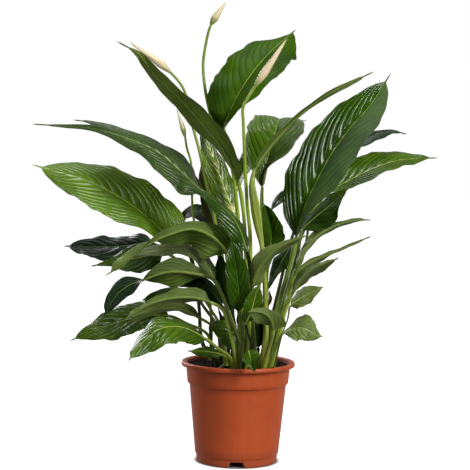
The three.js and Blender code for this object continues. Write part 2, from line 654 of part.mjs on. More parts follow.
// One section of a blade, turned as the section before it where the blade is only a thread.
function bladeStation(curve, t, s, leaf, before) {
  const { half, outline, tail, stalk, left, right, near, nearTip = near, facing = FRONT } = leaf;
  const centre = curve.getPoint(t);
  const forward = curve.getTangent(t);
  const across = new THREE.Vector3().crossVectors(forward, facing).normalize();
  const depth = new THREE.Vector3().crossVectors(across, forward);
  const width = half * bladeShape(s, outline, tail);
  const [leftNear, rightNear] = near.map((value, i) => THREE.MathUtils.lerp(value, nearTip[i], s));
  const leftHalf = halfOf(across, depth, width, -widthAt(left, s, tail), leftNear);
  const rightHalf = halfOf(across, depth, width, widthAt(right, s, tail), rightNear);
  const chord = rightHalf.clone().sub(leftHalf);
  const side = square(chord.length() > GAP ? chord : before, forward);
  const upper = new THREE.Vector3().crossVectors(side, forward);
  const radius = THREE.MathUtils.lerp(stalk, BLADE_TIP_RADIUS, Math.sqrt(s));
  const place = (x, z) => {
    const u = Math.abs(x);
    const lift = width * BLADE_EDGE_SWELL * 4 * u * (1 - u) + radius * z;
    const edge = x < 0 ? leftHalf : rightHalf;
    const point = centre.clone().addScaledVector(edge, u);
    return point.addScaledVector(side, radius * x).addScaledVector(upper, lift);
  };
  return { side, place };
}

function makeLeaf(leaf) {
  const { stalk, base, stem, blade, sheath = 0 } = leaf;
  const curve = spineOf(base, [...stem, ...blade]);
  const neck = (stem.length + 1) / (stem.length + blade.length);
  const bladeParameters = spread(curve, neck, 1, BLADE_STATIONS);
  const bladeStations = [];
  bladeParameters.forEach((t, i) => {
    bladeStations.push(bladeStation(curve, t, BLADE_STATIONS[i], leaf, bladeStations.at(-1)?.side));
  });
  // Down the stalk from the blade, so that the skin doesn't twist.
  let { side } = bladeStations[0];
  const stemFractions = Array.from({ length: STEM_STATIONS }, (_, i) => 1 - i / (STEM_STATIONS - 1));
  const stemPlaces = stemFractions.map((q) => {
    const [t] = spread(curve, 0, neck, [q]);
    const forward = t === 0 ? UP : curve.getTangent(t);
    side = square(side, forward);
    const across = side;
    const upper = new THREE.Vector3().crossVectors(across, forward);
    const centre = curve.getPoint(t);
    const radius = stalk * THREE.MathUtils.lerp(STEM_FLARE, 1, q);
    const wide = radius + sheath * Math.exp(-(((q - SHEATH_PLACE) / SHEATH_LENGTH) ** 2));
    return (x, z) => centre.clone().addScaledVector(across, wide * x).addScaledVector(upper, radius * z);
  });
  return loft([...stemPlaces.reverse(), ...bladeStations.map((station) => station.place)]);
}

function roundStations(curve, from, to, fractions, radiusAt) {
  return spread(curve, from, to, fractions).map((t, i) => {
    const centre = curve.getPoint(t);
    const forward = t === 0 ? UP : curve.getTangent(t);
    const side = square(FRONT, forward);
    const upper = new THREE.Vector3().crossVectors(side, forward);
    const radius = radiusAt(fractions[i]);
    return (x, z) => centre.clone().addScaledVector(side, radius * x).addScaledVector(upper, radius * z);
  });
}

function makeStalk({ radius, base, stem, bud }) {
  const curve = spineOf(base, [...stem, ...bud]);
  const foot = (stem.length + 1) / (stem.length + bud.length);
  const fractions = Array.from({ length: STALK_STATIONS }, (_, i) => i / (STALK_STATIONS - 1));
  const taper = (q) => radius * THREE.MathUtils.lerp(STEM_FLARE, STALK_TOP, q);
  return loft(roundStations(curve, 0, foot, fractions, taper));
}

function makeSpathe({ radius, base, stem, bud, fat }) {
  const curve = spineOf(base, [...stem, ...bud]);
  const foot = (stem.length + 1) / (stem.length + bud.length);
  const start = foot + GAP / curve.getLength();
  const swell = (s) => {
    if (s < SPATHE_WIDEST) {
      const grown = Math.sin((s / SPATHE_WIDEST) * (Math.PI / 2));
      return THREE.MathUtils.lerp(radius * STALK_TOP, fat, grown);
    }
    return Math.max(BLADE_TIP_RADIUS, fat * ((1 - s) / (1 - SPATHE_WIDEST)) ** SPATHE_POWER);
  };
  return loft(roundStations(curve, start, 1, BUD_STATIONS, swell));
}

const terracottaPlastic = { color: 0xa9552f, roughness: 0.55, metalness: 0 };
const peat = { color: 0x2a1d14, roughness: 1, metalness: 0 };
const leafGreen = { color: 0x3c6a1a, roughness: 0.35, metalness: 0 };
const stalkGreen = { color: 0x8fa035, roughness: 0.45, metalness: 0 };
const spatheCream = { color: 0xe6d3ae, roughness: 0.6, metalness: 0 };

const lily = new THREE.Group();

function add(name, geometry, finish) {
  const mesh = new THREE.Mesh(geometry, new THREE.MeshStandardMaterial(finish));
  mesh.name = name;
  mesh.geometry.computeVertexNormals();
  lily.add(mesh);
}

add('pot', makePot(), terracottaPlastic);
add('soil', makeSoil(), peat);
for (const leaf of leaves) {
  add(leaf.name, makeLeaf(leaf), leafGreen);
}
for (const flower of flowers) {
  add(`${flower.name}_stalk`, makeStalk(flower), stalkGreen);
  add(`${flower.name}_spathe`, makeSpathe(flower), spatheCream);
}

export default lily;
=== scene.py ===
import math
import bmesh
import bpy
import numpy as np
from mathutils import Matrix, Vector, noise


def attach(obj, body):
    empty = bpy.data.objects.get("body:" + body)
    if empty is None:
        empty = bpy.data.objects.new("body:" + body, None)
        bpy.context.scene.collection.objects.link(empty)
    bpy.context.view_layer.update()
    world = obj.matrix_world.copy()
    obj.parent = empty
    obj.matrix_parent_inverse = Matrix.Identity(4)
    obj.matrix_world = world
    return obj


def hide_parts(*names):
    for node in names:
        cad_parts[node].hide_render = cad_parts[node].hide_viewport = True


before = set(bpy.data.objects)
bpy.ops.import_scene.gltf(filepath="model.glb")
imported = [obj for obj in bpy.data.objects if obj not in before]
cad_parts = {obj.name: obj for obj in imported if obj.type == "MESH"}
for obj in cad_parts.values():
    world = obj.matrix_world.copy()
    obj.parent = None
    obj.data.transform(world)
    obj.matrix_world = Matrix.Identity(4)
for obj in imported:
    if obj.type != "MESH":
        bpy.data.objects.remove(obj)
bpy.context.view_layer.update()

# A potted peace lily. The tables are in millimetres, in the model's frame: +Z up, the best side
# faces -Y, the origin on the pot's axis at the ground.
MM = 0.001
TURN = 2 * math.pi

# ---------------------------------------------------------------- camera
CAMERA_PLACE = Vector((-8.0, -2130.0, 464.0))
CAMERA_TARGET = Vector((-8.0, 0.0, 339.0))
CAMERA_ROLL = math.radians(1.0)
CAMERA_FOCAL = 109.5
CAMERA_SENSOR = 36.0

# ---------------------------------------------------------------- pot and soil, in mm
POT_HEIGHT = 150.0
RIM_RADIUS = 85.0
RIM_DEPTH = 6.5
RIM_INNER_RADIUS = 79.0
SHOULDER_TOP_RADIUS = 78.0
SHOULDER_FOOT_RADIUS = 75.6
SHOULDER_FOOT_HEIGHT = 118.5
BODY_TOP_RADIUS = 72.6
BODY_FOOT_RADIUS = 62.6
FOOT_HEIGHT = 12.0
FOOT_TOP_RADIUS = 61.2
FOOT_RADIUS = 60.2
FOOT_WIDTH = 4.0
WALL = 1.8
FLOOR_UNDERSIDE = 10.5
FLOOR_TOP = FLOOR_UNDERSIDE + WALL
STEP_SLOPE = 1.2
NOTCH_COUNT = 3
NOTCH_WIDTH = 23.0
NOTCH_HEIGHT = 9.0
NOTCH_CORNER = 0.03  # radians
HOLE_COUNT = 6
HOLE_RADIUS = 5.0
HOLE_RING_RADIUS = 38.0
HOLE_SIDES = 40
FLOOR_RING = 20.0
POT_SIDES = 240
SHARP_ANGLE = math.radians(50)
SOIL_TOP = 145.0
SOIL_GAP = 0.9
SOIL_GRAIN = 2.2
SOIL_FOOT_GAP = 0.3
SOIL_RINGS, SOIL_SIDES = 110, 260
# How far above the soil a stalk's route starts, and how deep its foot is sunk into it.
STALK_GAP = 0.3
STALK_ROOT = 6

# ---------------------------------------------------------------- leaves, in mm
UP = (0.0, 0.0, 1.0)
FRONT = (0.0, -1.0, 0.0)
# Where along the blade its seen widths are known, and the earliest place where they end.
SEEN_AT = (0.0, 0.1, 0.3, 0.5, 0.7, 0.9)
TAIL_LIMIT = 0.94
DRIP_TIP_FROM, DRIP_TIP_RISE = 0.86, 0.08
STATION_PITCH = 3.2
STATION_COUNTS = (24, 110)
COLUMNS = 13
BLADE_THICKNESS = 0.5
MARGIN_THINNING = 0.7
LEAST_HALF = 1.1
VEIN_PITCH = 19.0
VEIN_COUNTS = (7, 15)
VEIN_SWEEP = 0.14
VEIN_BEND = 0.26
# How much closer than on the others the side veins of a leaf stand.
VEIN_CROWDING = {"striped_right_leaf": 0.8}
# How far each half arches, its ribs swell and its margin heaves and waves, in half widths.
ARCH, QUILT, HEAVE, WAVE = 0.10, 0.018, 0.016, 0.07
# Waves up and down at the margin, and its swings in and out: the size, how many there are on the
# blade, and which of the leaf's random phases the left and the right half take.
MARGIN_WAVES = ((1.0, 1.7, 0, 1), (0.6, 4.1, 2, 3))
MARGIN_SWINGS = ((0.030, 5.3, 5, 4), (0.016, 11.7, 1, 0))
# A stalk's groove and how broad it is for its height, how stout its foot is beside its neck and how
# far up that goes, the swelling under its blade with its place and length, and those of a sheath.
GROOVE, BROAD = 0.16, 1.12
STOUT_FOOT, STOUT_REACH = 1.4, 0.55
SWELLING, SWELLING_AT, SWELLING_LENGTH = 0.22, 0.95, 0.05
SHEATH_AT, SHEATH_LENGTH = 0.83, 0.14
STEM_SIDES = 12
STEM_STATIONS, RIDGE_STATIONS, RIDGE_END = 26, 30, 0.93
WING_SIDES = 14
FLOWER_STATIONS, FLOWER_SIDES = 60, 16
SPATHE_GRID = (70, 40)
SPATHE_STRIPES = 7
# Where a spathe is widest, and where its free edge starts and how far it winds, in radians.
WIDEST_AT = 0.3
SEAM_START, SEAM_TURN = 0.6, 2.6

# Each leaf: its name, its kind, half its blade's real width, its stalk's radius, where the stalk
# enters the soil, and how wide the left and the right half show from the front at a tenth, three,
# five, seven and nine tenths of the blade's length, seen up the midrib. Then points up the stalk
# and points along the midrib, and what differs from most leaves: near and near_tip say how far each
# edge comes towards the viewer, outline gives the powers of the blade's base and tip, tail is the
# share of the drip tip, facing is the side it is seen from, and sheath is how far that stands out.
LEAVES = [
    ("high_left_leaf", "high", 31, 2.6, (10, -14), (-13, -15, -11, -10, -3),
     (-6, -12, -16, -11, -3), [(10, -14, 243), (7, -20, 340), (1, -22, 394)], [(-5, -26, 419),
     (-25, -32, 464), (-55, -38, 501), (-88, -46, 537), (-125, -54, 570), (-152, -62, 601),
     (-182, -70, 618)], dict(tail=0.1)),
    ("tall_leaf", "calm", 52, 2.6, (0, 10), (31, 46, 42, 32, 8), (11, 25, 36, 36, 15),
     [(5, 12, 256), (-4, 13, 368), (-16, 8, 451)], [(-27, 4, 495), (-14, 12, 533), (10, 32, 576),
     (44, 66, 619), (81, 108, 654)], dict(outline=(0.6, 0.7), near=(-1, 1))),
    ("far_left_leaf", "mist", 38, 2.4, (14, 2), (25, 19, 12, 4, 1.5), (16, 14, 11, 5, 1.5),
     [(17, 4, 264), (4, 4, 337), (-28, 2, 382)], [(-60, -2, 405), (-87, -10, 430), (-125, -18, 461),
     (-169, -26, 480), (-215, -34, 493), (-261, -42, 496), (-305, -50, 498)],
     dict(outline=(0.35, 2.4))),
    ("shadow_left_leaf", "deep", 16, 2, (-30, 40), (4, 8, 8, 6, 2), (3, 4, 4, 3, 2),
     [(-20, 46, 252), (-40, 48, 359), (-63, 48, 412)], [(-84, 46, 440), (-124, 46, 470),
     (-170, 46, 487), (-216, 48, 502), (-256, 50, 507)], {}),
    ("inner_edge_leaf", "deep", 24, 2.4, (18, -36), (17, 20, 13, 6, 2), (6, 5, 3, 2, 1),
     [(21, -48, 203), (16, -58, 285)], [(10, -66, 319), (-7, -62, 362), (-31, -56, 386),
     (-56, -48, 402), (-90, -38, 413)], dict(outline=(0.5, 0.9), tail=0.1)),
    ("glossy_centre_leaf", "gleam", 26, 2.4, (-2, 24), (15, 22, 19, 14, 5), (8, 16, 14, 10, 4),
     [(3, 26, 239), (0, 30, 307)], [(-5, 34, 357), (-21, 37, 396), (-39, 39, 442), (-54, 41, 480),
     (-66, 42, 507)], {}),
    ("back_peak_leaf", "brown", 16, 2, (6, 44), (8, 12, 12, 9, 3), (8, 13, 13, 9, 3), [(1, 58, 236),
     (-14, 68, 304)], [(-33, 74, 339), (-46, 78, 376), (-56, 82, 409), (-63, 88, 446)], {}),
    ("back_dark_leaf", "shadow", 24, 2, (-26, 50), (8, 13, 13, 9, 4), (9, 13, 8, 8, 5),
     [(-17, 70, 219), (-31, 90, 291)], [(-44, 100, 342), (-57, 116, 361), (-70, 136, 366),
     (-84, 158, 364), (-99, 178, 350)], {}),
    ("left_arch_leaf", "arch", 42, 2.4, (10, -40), (-20, -12, -9, -2, 3), (-34, -26, -11, 8, 10),
     [(12, -46, 203), (0, -50, 284)], [(-16, -56, 313), (-40, -64, 339), (-69, -74, 351),
     (-98, -86, 345), (-129, -96, 331), (-161, -104, 305), (-191, -108, 284)],
     dict(outline=(0.45, 0.95), tail=0.04, near_tip=(0.6, -0.7), near=(-0.5, -0.7))),
    ("bright_left_leaf", "lime", 46, 2.6, (-28, 10), (11, 16, 34, 31, 12), (34, 42, 37, 27, 9),
     [(-53, 14, 171), (-61, 18, 233)], [(-77, 24, 308), (-103, 28, 327), (-137, 32, 358),
     (-182, 36, 390), (-243, 40, 419), (-283, 42, 429), (-318, 44, 438)],
     dict(outline=(0.6, 0.75))),
    ("blue_left_leaf", "blue", 34, 2.2, (-26, 28), (20, 24, 20, 12, 3), (9, 16, 14, 13, 7),
     [(-33, 38, 196), (-57, 48, 230), (-95, 62, 292)], [(-136, 70, 320), (-178, 84, 314),
     (-223, 98, 311), (-277, 116, 310)], dict(outline=(0.6, 0.75))),
    ("low_tail_leaf", "olive", 25, 2, (-20, 22), (20, 22, 17, 6, 1.5), (10, 18, 17, 8, 2),
     [(-25, 24, 193), (-52, 26, 238), (-83, 30, 286)], [(-114, 32, 308), (-149, 34, 301),
     (-185, 38, 293), (-227, 44, 285)], dict(outline=(0.5, 0.8), tail=0.2)),
    ("folded_left_leaf", "sage", 24, 2.4, (2, -28), (7, 9, 8, 7, 3), (8, 8, 7, 6, 3),
     [(2, -34, 179), (-12, -36, 219), (-26, -38, 254)], [(-36, -38, 273), (-53, -36, 301),
     (-75, -32, 318), (-106, -26, 318), (-136, -20, 314), (-166, -14, 303)],
     dict(outline=(0.5, 0.9))),
    ("twisted_left_leaf", "dusk", 34, 2.6, (6, -50), (-7, -20, -7, 12, 6), (-6, -24, -8, 15, 8),
     [(7, -54, 171), (-9, -58, 211), (-27, -62, 259)], [(-39, -64, 278), (-65, -70, 286),
     (-101, -78, 289), (-136, -86, 279), (-171, -92, 260), (-196, -96, 220)],
     dict(outline=(0.6, 0.75), near_tip=(1, -0.4), near=(-0.7, -0.4))),
    ("small_left_leaf", "deep", 16, 1.8, (-8, -10), (10, 14, 14, 10, 4), (3, 6, 8, 9, 4),
     [(-4, -12, 183), (-25, -18, 228)], [(-64, -24, 253), (-94, -30, 254), (-121, -36, 248),
     (-144, -40, 243)], {}),
    ("low_arch_leaf", "olive", 26, 2.2, (-2, -56), (-12, -13, -8, -4, -5), (-6, -9, -10, -8, -4),
     [(-8, -62, 182), (-25, -74, 236)], [(-42, -80, 246), (-62, -88, 253), (-96, -98, 253),
     (-130, -106, 243), (-162, -112, 223)], dict(near=(-0.7, -0.7))),
    ("low_left_leaf", "bright", 31, 2.2, (-32, -12), (11, 20, 22, 14, 4), (18, 22, 21, 15, 6),
     [(-47, -10, 191), (-76, -6, 205)], [(-105, -2, 216), (-150, 4, 213), (-197, 12, 198),
     (-255, 22, 173)], dict(outline=(0.7, 1.05))),
    ("low_band_leaf", "olive", 20, 2, (-17, -20), (-7, -9, -10, -9, -4), (-5, -7, -8, -6, -3),
     [(-25, -20, 181), (-40, -24, 205)], [(-57, -33, 217), (-84, -50, 232), (-118, -60, 233),
     (-165, -68, 211)], dict(near=(-0.7, -0.7))),
    ("front_left_leaf", "bright", 33, 2.4, (-8, -64), (10, 17, 23, 21, 9), (4, 6, 9, 9, 6),
     [(-12, -72, 165), (-30, -82, 180)], [(-47, -90, 194), (-78, -110, 212), (-107, -132, 214),
     (-133, -154, 197), (-152, -175, 173)], dict(outline=(0.7, 1), tail=0.03)),
    ("soil_leaf", "bright", 11, 1.6, (-26, -50), (4, 7, 8, 7, 2), (3, 5, 6, 4, 1),
     [(-17, -54, 160)], [(-22, -56, 166), (-40, -54, 170), (-58, -50, 171), (-75, -46, 170)], {}),
    ("rim_leaf", "bright", 14, 1.6, (10, -68), (9, 14, 13, 8, 3), (8, 12, 11, 8, 3),
     [(15, -74, 165)], [(15, -80, 176), (17, -92, 169), (20, -98, 160), (24, -100, 149)],
     dict(outline=(0.65, 0.7), near=(1, 1))),
    ("striped_right_leaf", "pleated", 49, 3, (46, -6), (26, 46, 43, 35, 13), (8, 23, 29, 29, 13),
     [(50, -8, 198), (62, -10, 251), (76, -12, 301)], [(83, -12, 337), (94, -8, 380),
     (113, -2, 423), (133, 4, 461), (161, 12, 501), (191, 20, 536), (222, 30, 585)],
     dict(outline=(0.6, 0.85), near=(-0.4, 1))),
    ("right_back_leaf", "bright", 30, 2.4, (50, 18), (20, 28, 23, 13, 4), (10, 11, 12, 10, 2),
     [(68, 40, 239), (98, 66, 345)], [(132, 86, 400), (168, 102, 421), (209, 120, 441),
     (251, 140, 454), (314, 166, 459)], dict(tail=0.08, near=(-1, 1))),
    ("right_grey_leaf", "blue", 26, 2.2, (38, 34), (8, 12, 9, 6, 2), (6, 8, 8, 7, 2),
     [(57, 56, 237), (92, 90, 367)], [(132, 118, 440), (168, 134, 470), (204, 148, 490),
     (237, 160, 500), (265, 172, 496)], dict(outline=(0.65, 0.8), tail=0.08, near=(-1, 1))),
    ("right_dark_leaf", "dim", 28, 2.4, (50, 10), (4, 8, 11, 11, 5), (14, 24, 20, 8, 2),
     [(68, 24, 240), (87, 36, 308)], [(94, 40, 345), (112, 44, 364), (133, 50, 381),
     (165, 58, 411)], dict(near=(-1, 1))),
    ("edge_right_leaf", "olive", 20, 2.8, (32, -36), (-5, -4, -4, -5, -3), (-5, -4, -3, -3, -2),
     [(40, -52, 195), (38, -62, 234), (35, -70, 293), (31, -69, 328), (24, -64, 359),
     (19, -60, 388), (15, -54, 417)], [(19, -48, 437), (32, -44, 461), (55, -46, 490),
     (86, -52, 522), (123, -60, 549), (156, -66, 566), (187, -70, 581)],
     dict(outline=(0.4, 0.9), tail=0.1, sheath=6, near=(-0.4, 0.4))),
    ("round_back_leaf", "netted", 45, 2.4, (24, 32), (14, 36, 43, 36, 20), (9, 36, 45, 44, 24),
     [(29, 36, 238), (33, 40, 345)], [(32, 46, 409), (39, 60, 448), (48, 82, 481), (55, 114, 506),
     (60, 148, 516), (68, 178, 502)],
     dict(outline=(0.65, 0.6), tail=0.04, facing=UP, near=(0.6, 0.6))),
    ("dark_standing_leaf", "dim", 22, 2.2, (34, -26), (12, 15, 14, 10, 6), (12, 20, 17, 10, 5),
     [(40, -32, 216), (40, -36, 283)], [(44, -40, 319), (45, -42, 344), (43, -44, 363),
     (38, -46, 378), (33, -48, 389)], dict(outline=(0.65, 0.8), tail=0.04, near=(0.8, 0.8))),
    ("right_curl_leaf", "olive", 15, 2, (40, 44), (6, 9, 9, 6, 2), (6, 9, 9, 6, 2), [(78, 60, 237),
     (105, 76, 352)], [(98, 80, 387), (79, 76, 398), (59, 70, 390), (45, 62, 372)], {}),
    ("front_glossy_leaf", "deep", 22, 2.2, (2, -62), (9, 17, 17, 12, 5), (8, 16, 17, 13, 5),
     [(6, -72, 194)], [(0, -80, 233), (-1, -86, 262), (-6, -94, 300), (-14, -100, 342)],
     dict(near=(1, 0.4))),
    ("front_small_leaf", "bright", 16, 1.8, (13, -56), (8, 12, 13, 10, 4), (6, 12, 14, 11, 5),
     [(18, -74, 184)], [(10, -96, 217), (17, -103, 236), (21, -105, 253), (27, -106, 276)],
     dict(near=(0.2, -0.6))),
    ("grey_fold_leaf", "olive", 23, 1.8, (36, -60), (-19, -16, -9, -6, -3), (-6, -15, -19, -16, -8),
     [(44, -76, 178)], [(49, -102, 210), (45, -112, 226), (36, -118, 235), (25, -122, 238),
     (12, -124, 238)], dict(outline=(0.5, 0.45), tail=0.02, near=(-0.2, -0.3))),
    ("centre_arch_leaf", "olive", 23, 2.4, (24, -64), (-12, -12, -8, -7, -4), (-6, -15, -9, -5, -2),
     [(22, -72, 199), (17, -78, 243)], [(18, -84, 267), (26, -96, 295), (42, -108, 318),
     (63, -118, 334), (94, -126, 348)], dict(near=(-0.7, -0.7))),
    ("right_edge_leaf", "olive", 24, 2.4, (51, 1), (-6, -7, -5, -5, -2), (-5, -6, -6, -4, -3),
     [(60, 2, 197), (76, 8, 248)], [(85, 12, 289), (95, 15, 313), (111, 20, 334), (137, 27, 351),
     (169, 38, 361), (199, 50, 363)], dict(outline=(0.5, 0.8), near=(-0.7, -0.7))),
    ("right_thin_leaf", "olive", 18, 2.2, (50, -20), (-5, -6, -4, -3, -1), (-2, -3, -3, -2, -1),
     [(61, -20, 193), (72, -22, 245)], [(80, -22, 281), (98, -22, 298), (124, -22, 311),
     (156, -22, 325), (193, -22, 342)], dict(near=(-0.7, -0.7))),
    ("right_low_leaf", "olive", 20, 2.4, (41, -34), (-5, -11, -12, -8, -3), (-5, -7, -5, -3, -1),
     [(48, -40, 188), (66, -44, 236)], [(77, -48, 257), (88, -54, 277), (104, -64, 294),
     (122, -76, 304), (141, -88, 314)], dict(near=(-0.7, -0.7))),
    ("small_right_leaf", "pale", 15, 1.1, (53, -38), (5, 9, 12, 9, 3), (8, 11, 12, 8, 3),
     [(62, -54, 193), (71, -62, 223)], [(74, -66, 241), (85, -72, 251), (99, -78, 260),
     (120, -86, 272)], dict(near=(-1, 1))),
    ("low_right_leaf", "pale", 22, 1.6, (44, -54), (2, 12, 18, 11, 3), (4, 13, 18, 15, 7),
     [(55, -62, 180)], [(64, -72, 202), (77, -78, 209), (91, -86, 212), (105, -94, 207),
     (120, -100, 201)], dict(outline=(1, 1.3), near=(-1, 1))),
    ("drooping_leaf", "dim", 18, 2.2, (36, 10), (4, 12, 9, 4, 2), (3, 12, 8, 4, 2), [(56, 12, 211),
     (70, 18, 279), (78, 22, 317)], [(77, 20, 326), (68, 14, 308), (57, 6, 290), (46, -2, 268),
     (38, -8, 252)], dict(tail=0.12)),
    ("shade_leaf", "bright", 22, 1.8, (-30, -30), (17, 20, 18, 13, 6), (3, 5, 5, 4, 2),
     [(-39, -32, 170)], [(-41, -35, 209), (-32, -37, 199), (-22, -38, 188), (-11, -38, 177),
     (-1, -38, 169)], dict(outline=(0.5, 0.6), near=(-0.2, 0.5))),
    ("inner_dark_leaf", "shadow", 15, 2, (-8, -24), (7, 12, 14, 11, 4), (6, 11, 12, 9, 3),
     [(-2, -21, 184)], [(-10, -18, 225), (-20, -18, 258), (-26, -18, 288), (-30, -20, 316)],
     dict(near=(0.3, -1))),
    ("under_fold_leaf", "shadow", 18, 2, (-8, -47), (6, 12, 13, 9, 4), (6, 10, 11, 9, 3),
     [(-11, -54, 196)], [(-25, -50, 238), (-40, -50, 258), (-58, -52, 270), (-78, -53, 272),
     (-98, -55, 266)], dict(near=(0.1, -0.2))),
    ("low_back_leaf", "shadow", 17, 2, (2, 38), (8, 14, 15, 11, 4), (7, 12, 13, 10, 4),
     [(6, 39, 161)], [(7, 40, 179), (11, 42, 210), (12, 44, 237), (10, 46, 268)],
     dict(near=(0.6, -0.6))),
    ("centre_back_leaf", "shadow", 15, 2, (26, 4), (9, 12, 13, 10, 4), (9, 13, 13, 10, 4),
     [(30, 5, 160)], [(30, 6, 169), (29, 8, 196), (25, 9, 229), (17, 11, 263)],
     dict(near=(-0.6, 0.6))),
    ("veined_back_leaf", "netted", 20, 2, (16, 48), (5, 11, 16, 12, 4), (4, 8, 9, 8, 3),
     [(9, 70, 250), (-4, 78, 350)], [(-8, 82, 399), (3, 86, 432), (21, 96, 466), (41, 110, 490)],
     dict(near=(-1, 1))),
    ("withered_leaf", "dry", 6, 1.4, (-21, -8), (2, 3, 3, 2, 1), (2, 3, 3, 2, 1), [(-14, -8, 175)],
     [(-19, -8, 199), (-25, -8, 212), (-31, -8, 230)], dict(near=(1, 1))),
    ("curled_bract", "bract", 6, 1.6, (30, -4), (2, 3, 3, 2, 1), (2, 3, 3, 2, 1), [(44, -4, 198)],
     [(43, -4, 234), (46, -4, 244), (44, -4, 258)], dict(near=(1, 1))),
]

# Each flower: its name, the radii of its stalk and of its rolled spathe, where the stalk enters
# the soil, points up the stalk, and points up the spathe.
FLOWERS = [
    ("top_flower", 2.6, 6, (-8, 34), [(-11, 42, 237), (-28, 58, 358), (-39, 60, 450),
     (-46, 57, 506), (-56, 52, 550), (-61, 51, 592), (-58, 49, 621)], [(-50, 46, 654),
     (-28, 44, 688)]),
    ("right_flower", 2.6, 6, (12, -30), [(16, -30, 245), (14, -36, 343), (9, -44, 386),
     (4, -54, 457), (1, -58, 509), (0, -60, 526), (6, -61, 539)], [(17, -62, 557), (62, -66, 627)]),
    ("left_flower", 2.4, 6, (-14, -4), [(-20, 2, 241), (-40, 10, 368), (-53, 12, 419),
     (-64, 16, 465), (-74, 20, 499), (-88, 18, 554)], [(-108, 14, 579), (-169, 10, 623)]),
    ("small_flower", 2, 4, (-42, 34), [(-43, 34, 222), (-72, 38, 366), (-77, 36, 448),
     (-83, 34, 467)], [(-86, 32, 484), (-99, 32, 526)]),
]


# ---------------------------------------------------------------- small tools
def crspline(points):
    """A centripetal Catmull-Rom curve: returns a function of a parameter from 0 to 1."""
    pts = [np.array(p, float) for p in points]
    ends = [2 * pts[0] - pts[1]] + pts + [2 * pts[-1] - pts[-2]]
    spans = len(pts) - 1

    def at(t):
        place = min(max(t, 0.0), 1.0) * spans
        i = min(int(place), spans - 1)
        w = place - i
        p0, p1, p2, p3 = four = ends[i:i + 4]
        d0, d1, d2 = (max(np.linalg.norm(b - a), 1e-6) ** 0.5 for a, b in zip(four, four[1:]))
        m1 = ((p1 - p0) / d0 - (p2 - p0) / (d0 + d1) + (p2 - p1) / d1) * d1
        m2 = ((p2 - p1) / d1 - (p3 - p1) / (d1 + d2) + (p3 - p2) / d2) * d1
        a = 2 * p1 - 2 * p2 + m1 + m2
        b = -3 * p1 + 3 * p2 - 2 * m1 - m2
        return ((a * w + b) * w + m1) * w + p1

    return at


def resample(curve, start, end, fractions):
    """Points at even fractions of the length between two curve parameters, and that length."""
    points = np.array([curve(t) for t in np.linspace(start, end, 500)])
    steps = np.linalg.norm(np.diff(points, axis=0), axis=1)
    length = np.concatenate([[0], np.cumsum(steps)])
    wanted = np.asarray(fractions) * length[-1]
    return np.stack([np.interp(wanted, length, points[:, k]) for k in range(3)], 1), length[-1]


def unit(v):
    return v / np.maximum(np.linalg.norm(v, axis=-1, keepdims=True), 1e-9)


def tangents(points):
    return unit(np.gradient(points, axis=0))


def facing_frame(points, facing):
    """At each point: forwards along the path, to the right, and towards the side it faces."""
    forward = tangents(points)
    right = unit(np.cross(forward, np.array(facing, float)))
    return forward, right, np.cross(right, forward)


def smooth_values(values, s, tail):
    """A monotone cubic through the seen widths, nought at the foot and at the drip tip's start."""
    x = np.array([*SEEN_AT, max(1 - tail, TAIL_LIMIT)])
    s = np.minimum(s, x[-1])
    y = np.concatenate([[0], values, [0]])
    h = np.diff(x)
    d = np.diff(y) / h
    m = np.zeros_like(y)
    m[0], m[-1] = d[0], d[-1]
    for i in range(1, len(y) - 1):
        if d[i - 1] * d[i] > 0:
            w1, w2 = 2 * h[i] + h[i - 1], h[i] + 2 * h[i - 1]
            m[i] = (w1 + w2) / (w1 / d[i - 1] + w2 / d[i])
    i = np.clip(np.searchsorted(x, s) - 1, 0, len(x) - 2)
    t = (s - x[i]) / h[i]
    a = (1 + 2 * t) * (1 - t) ** 2
    b = t * (1 - t) ** 2 * h[i]
    c = t * t * (3 - 2 * t)
    e = t * t * (t - 1) * h[i]
    return a * y[i] + b * m[i] + c * y[i + 1] + e * m[i + 1]


def blade_shape(s, powers, tail):
    """The blade's outline, 1 at its widest."""
    base, tip = powers
    widest = base / (base + tip)
    q = np.minimum(1, s / (1 - tail))
    return (q / widest) ** base * (np.maximum(1 - q, 0) / (1 - widest)) ** tip


def ripples(table, s, phase, side):
    """A sum of waves along the blade."""
    return sum(
        size * np.sin(TURN * count * s + phase[picks[side]]) for size, count, *picks in table)


def seed_of(name):
    return sum((i + 1) * ord(c) for i, c in enumerate(name)) % 9973


def around(count, sides):
    """Every angle round each of a path's stations, with its cosine and its sine."""
    angles = [TURN * k / sides for k in range(sides)]
    return [(i, a, math.cos(a), math.sin(a)) for i in range(count) for a in angles]


def ring_faces(rings, sides):
    """The faces of a closed tube whose points go round and round: its wall and its two ends."""
    faces = []
    for start in range(0, (rings - 1) * sides, sides):
        for k in range(sides):
            a, b = start + k, start + (k + 1) % sides
            faces.append((a, b, b + sides, a + sides))
    last = (rings - 1) * sides
    return faces + [tuple(range(sides - 1, -1, -1)), tuple(range(last, last + sides))]


def shifted(faces, offset):
    return [tuple(offset + k for k in face) for face in faces]


def link_object(name, data):
    obj = bpy.data.objects.new(name, data)
    bpy.context.scene.collection.objects.link(obj)
    return obj


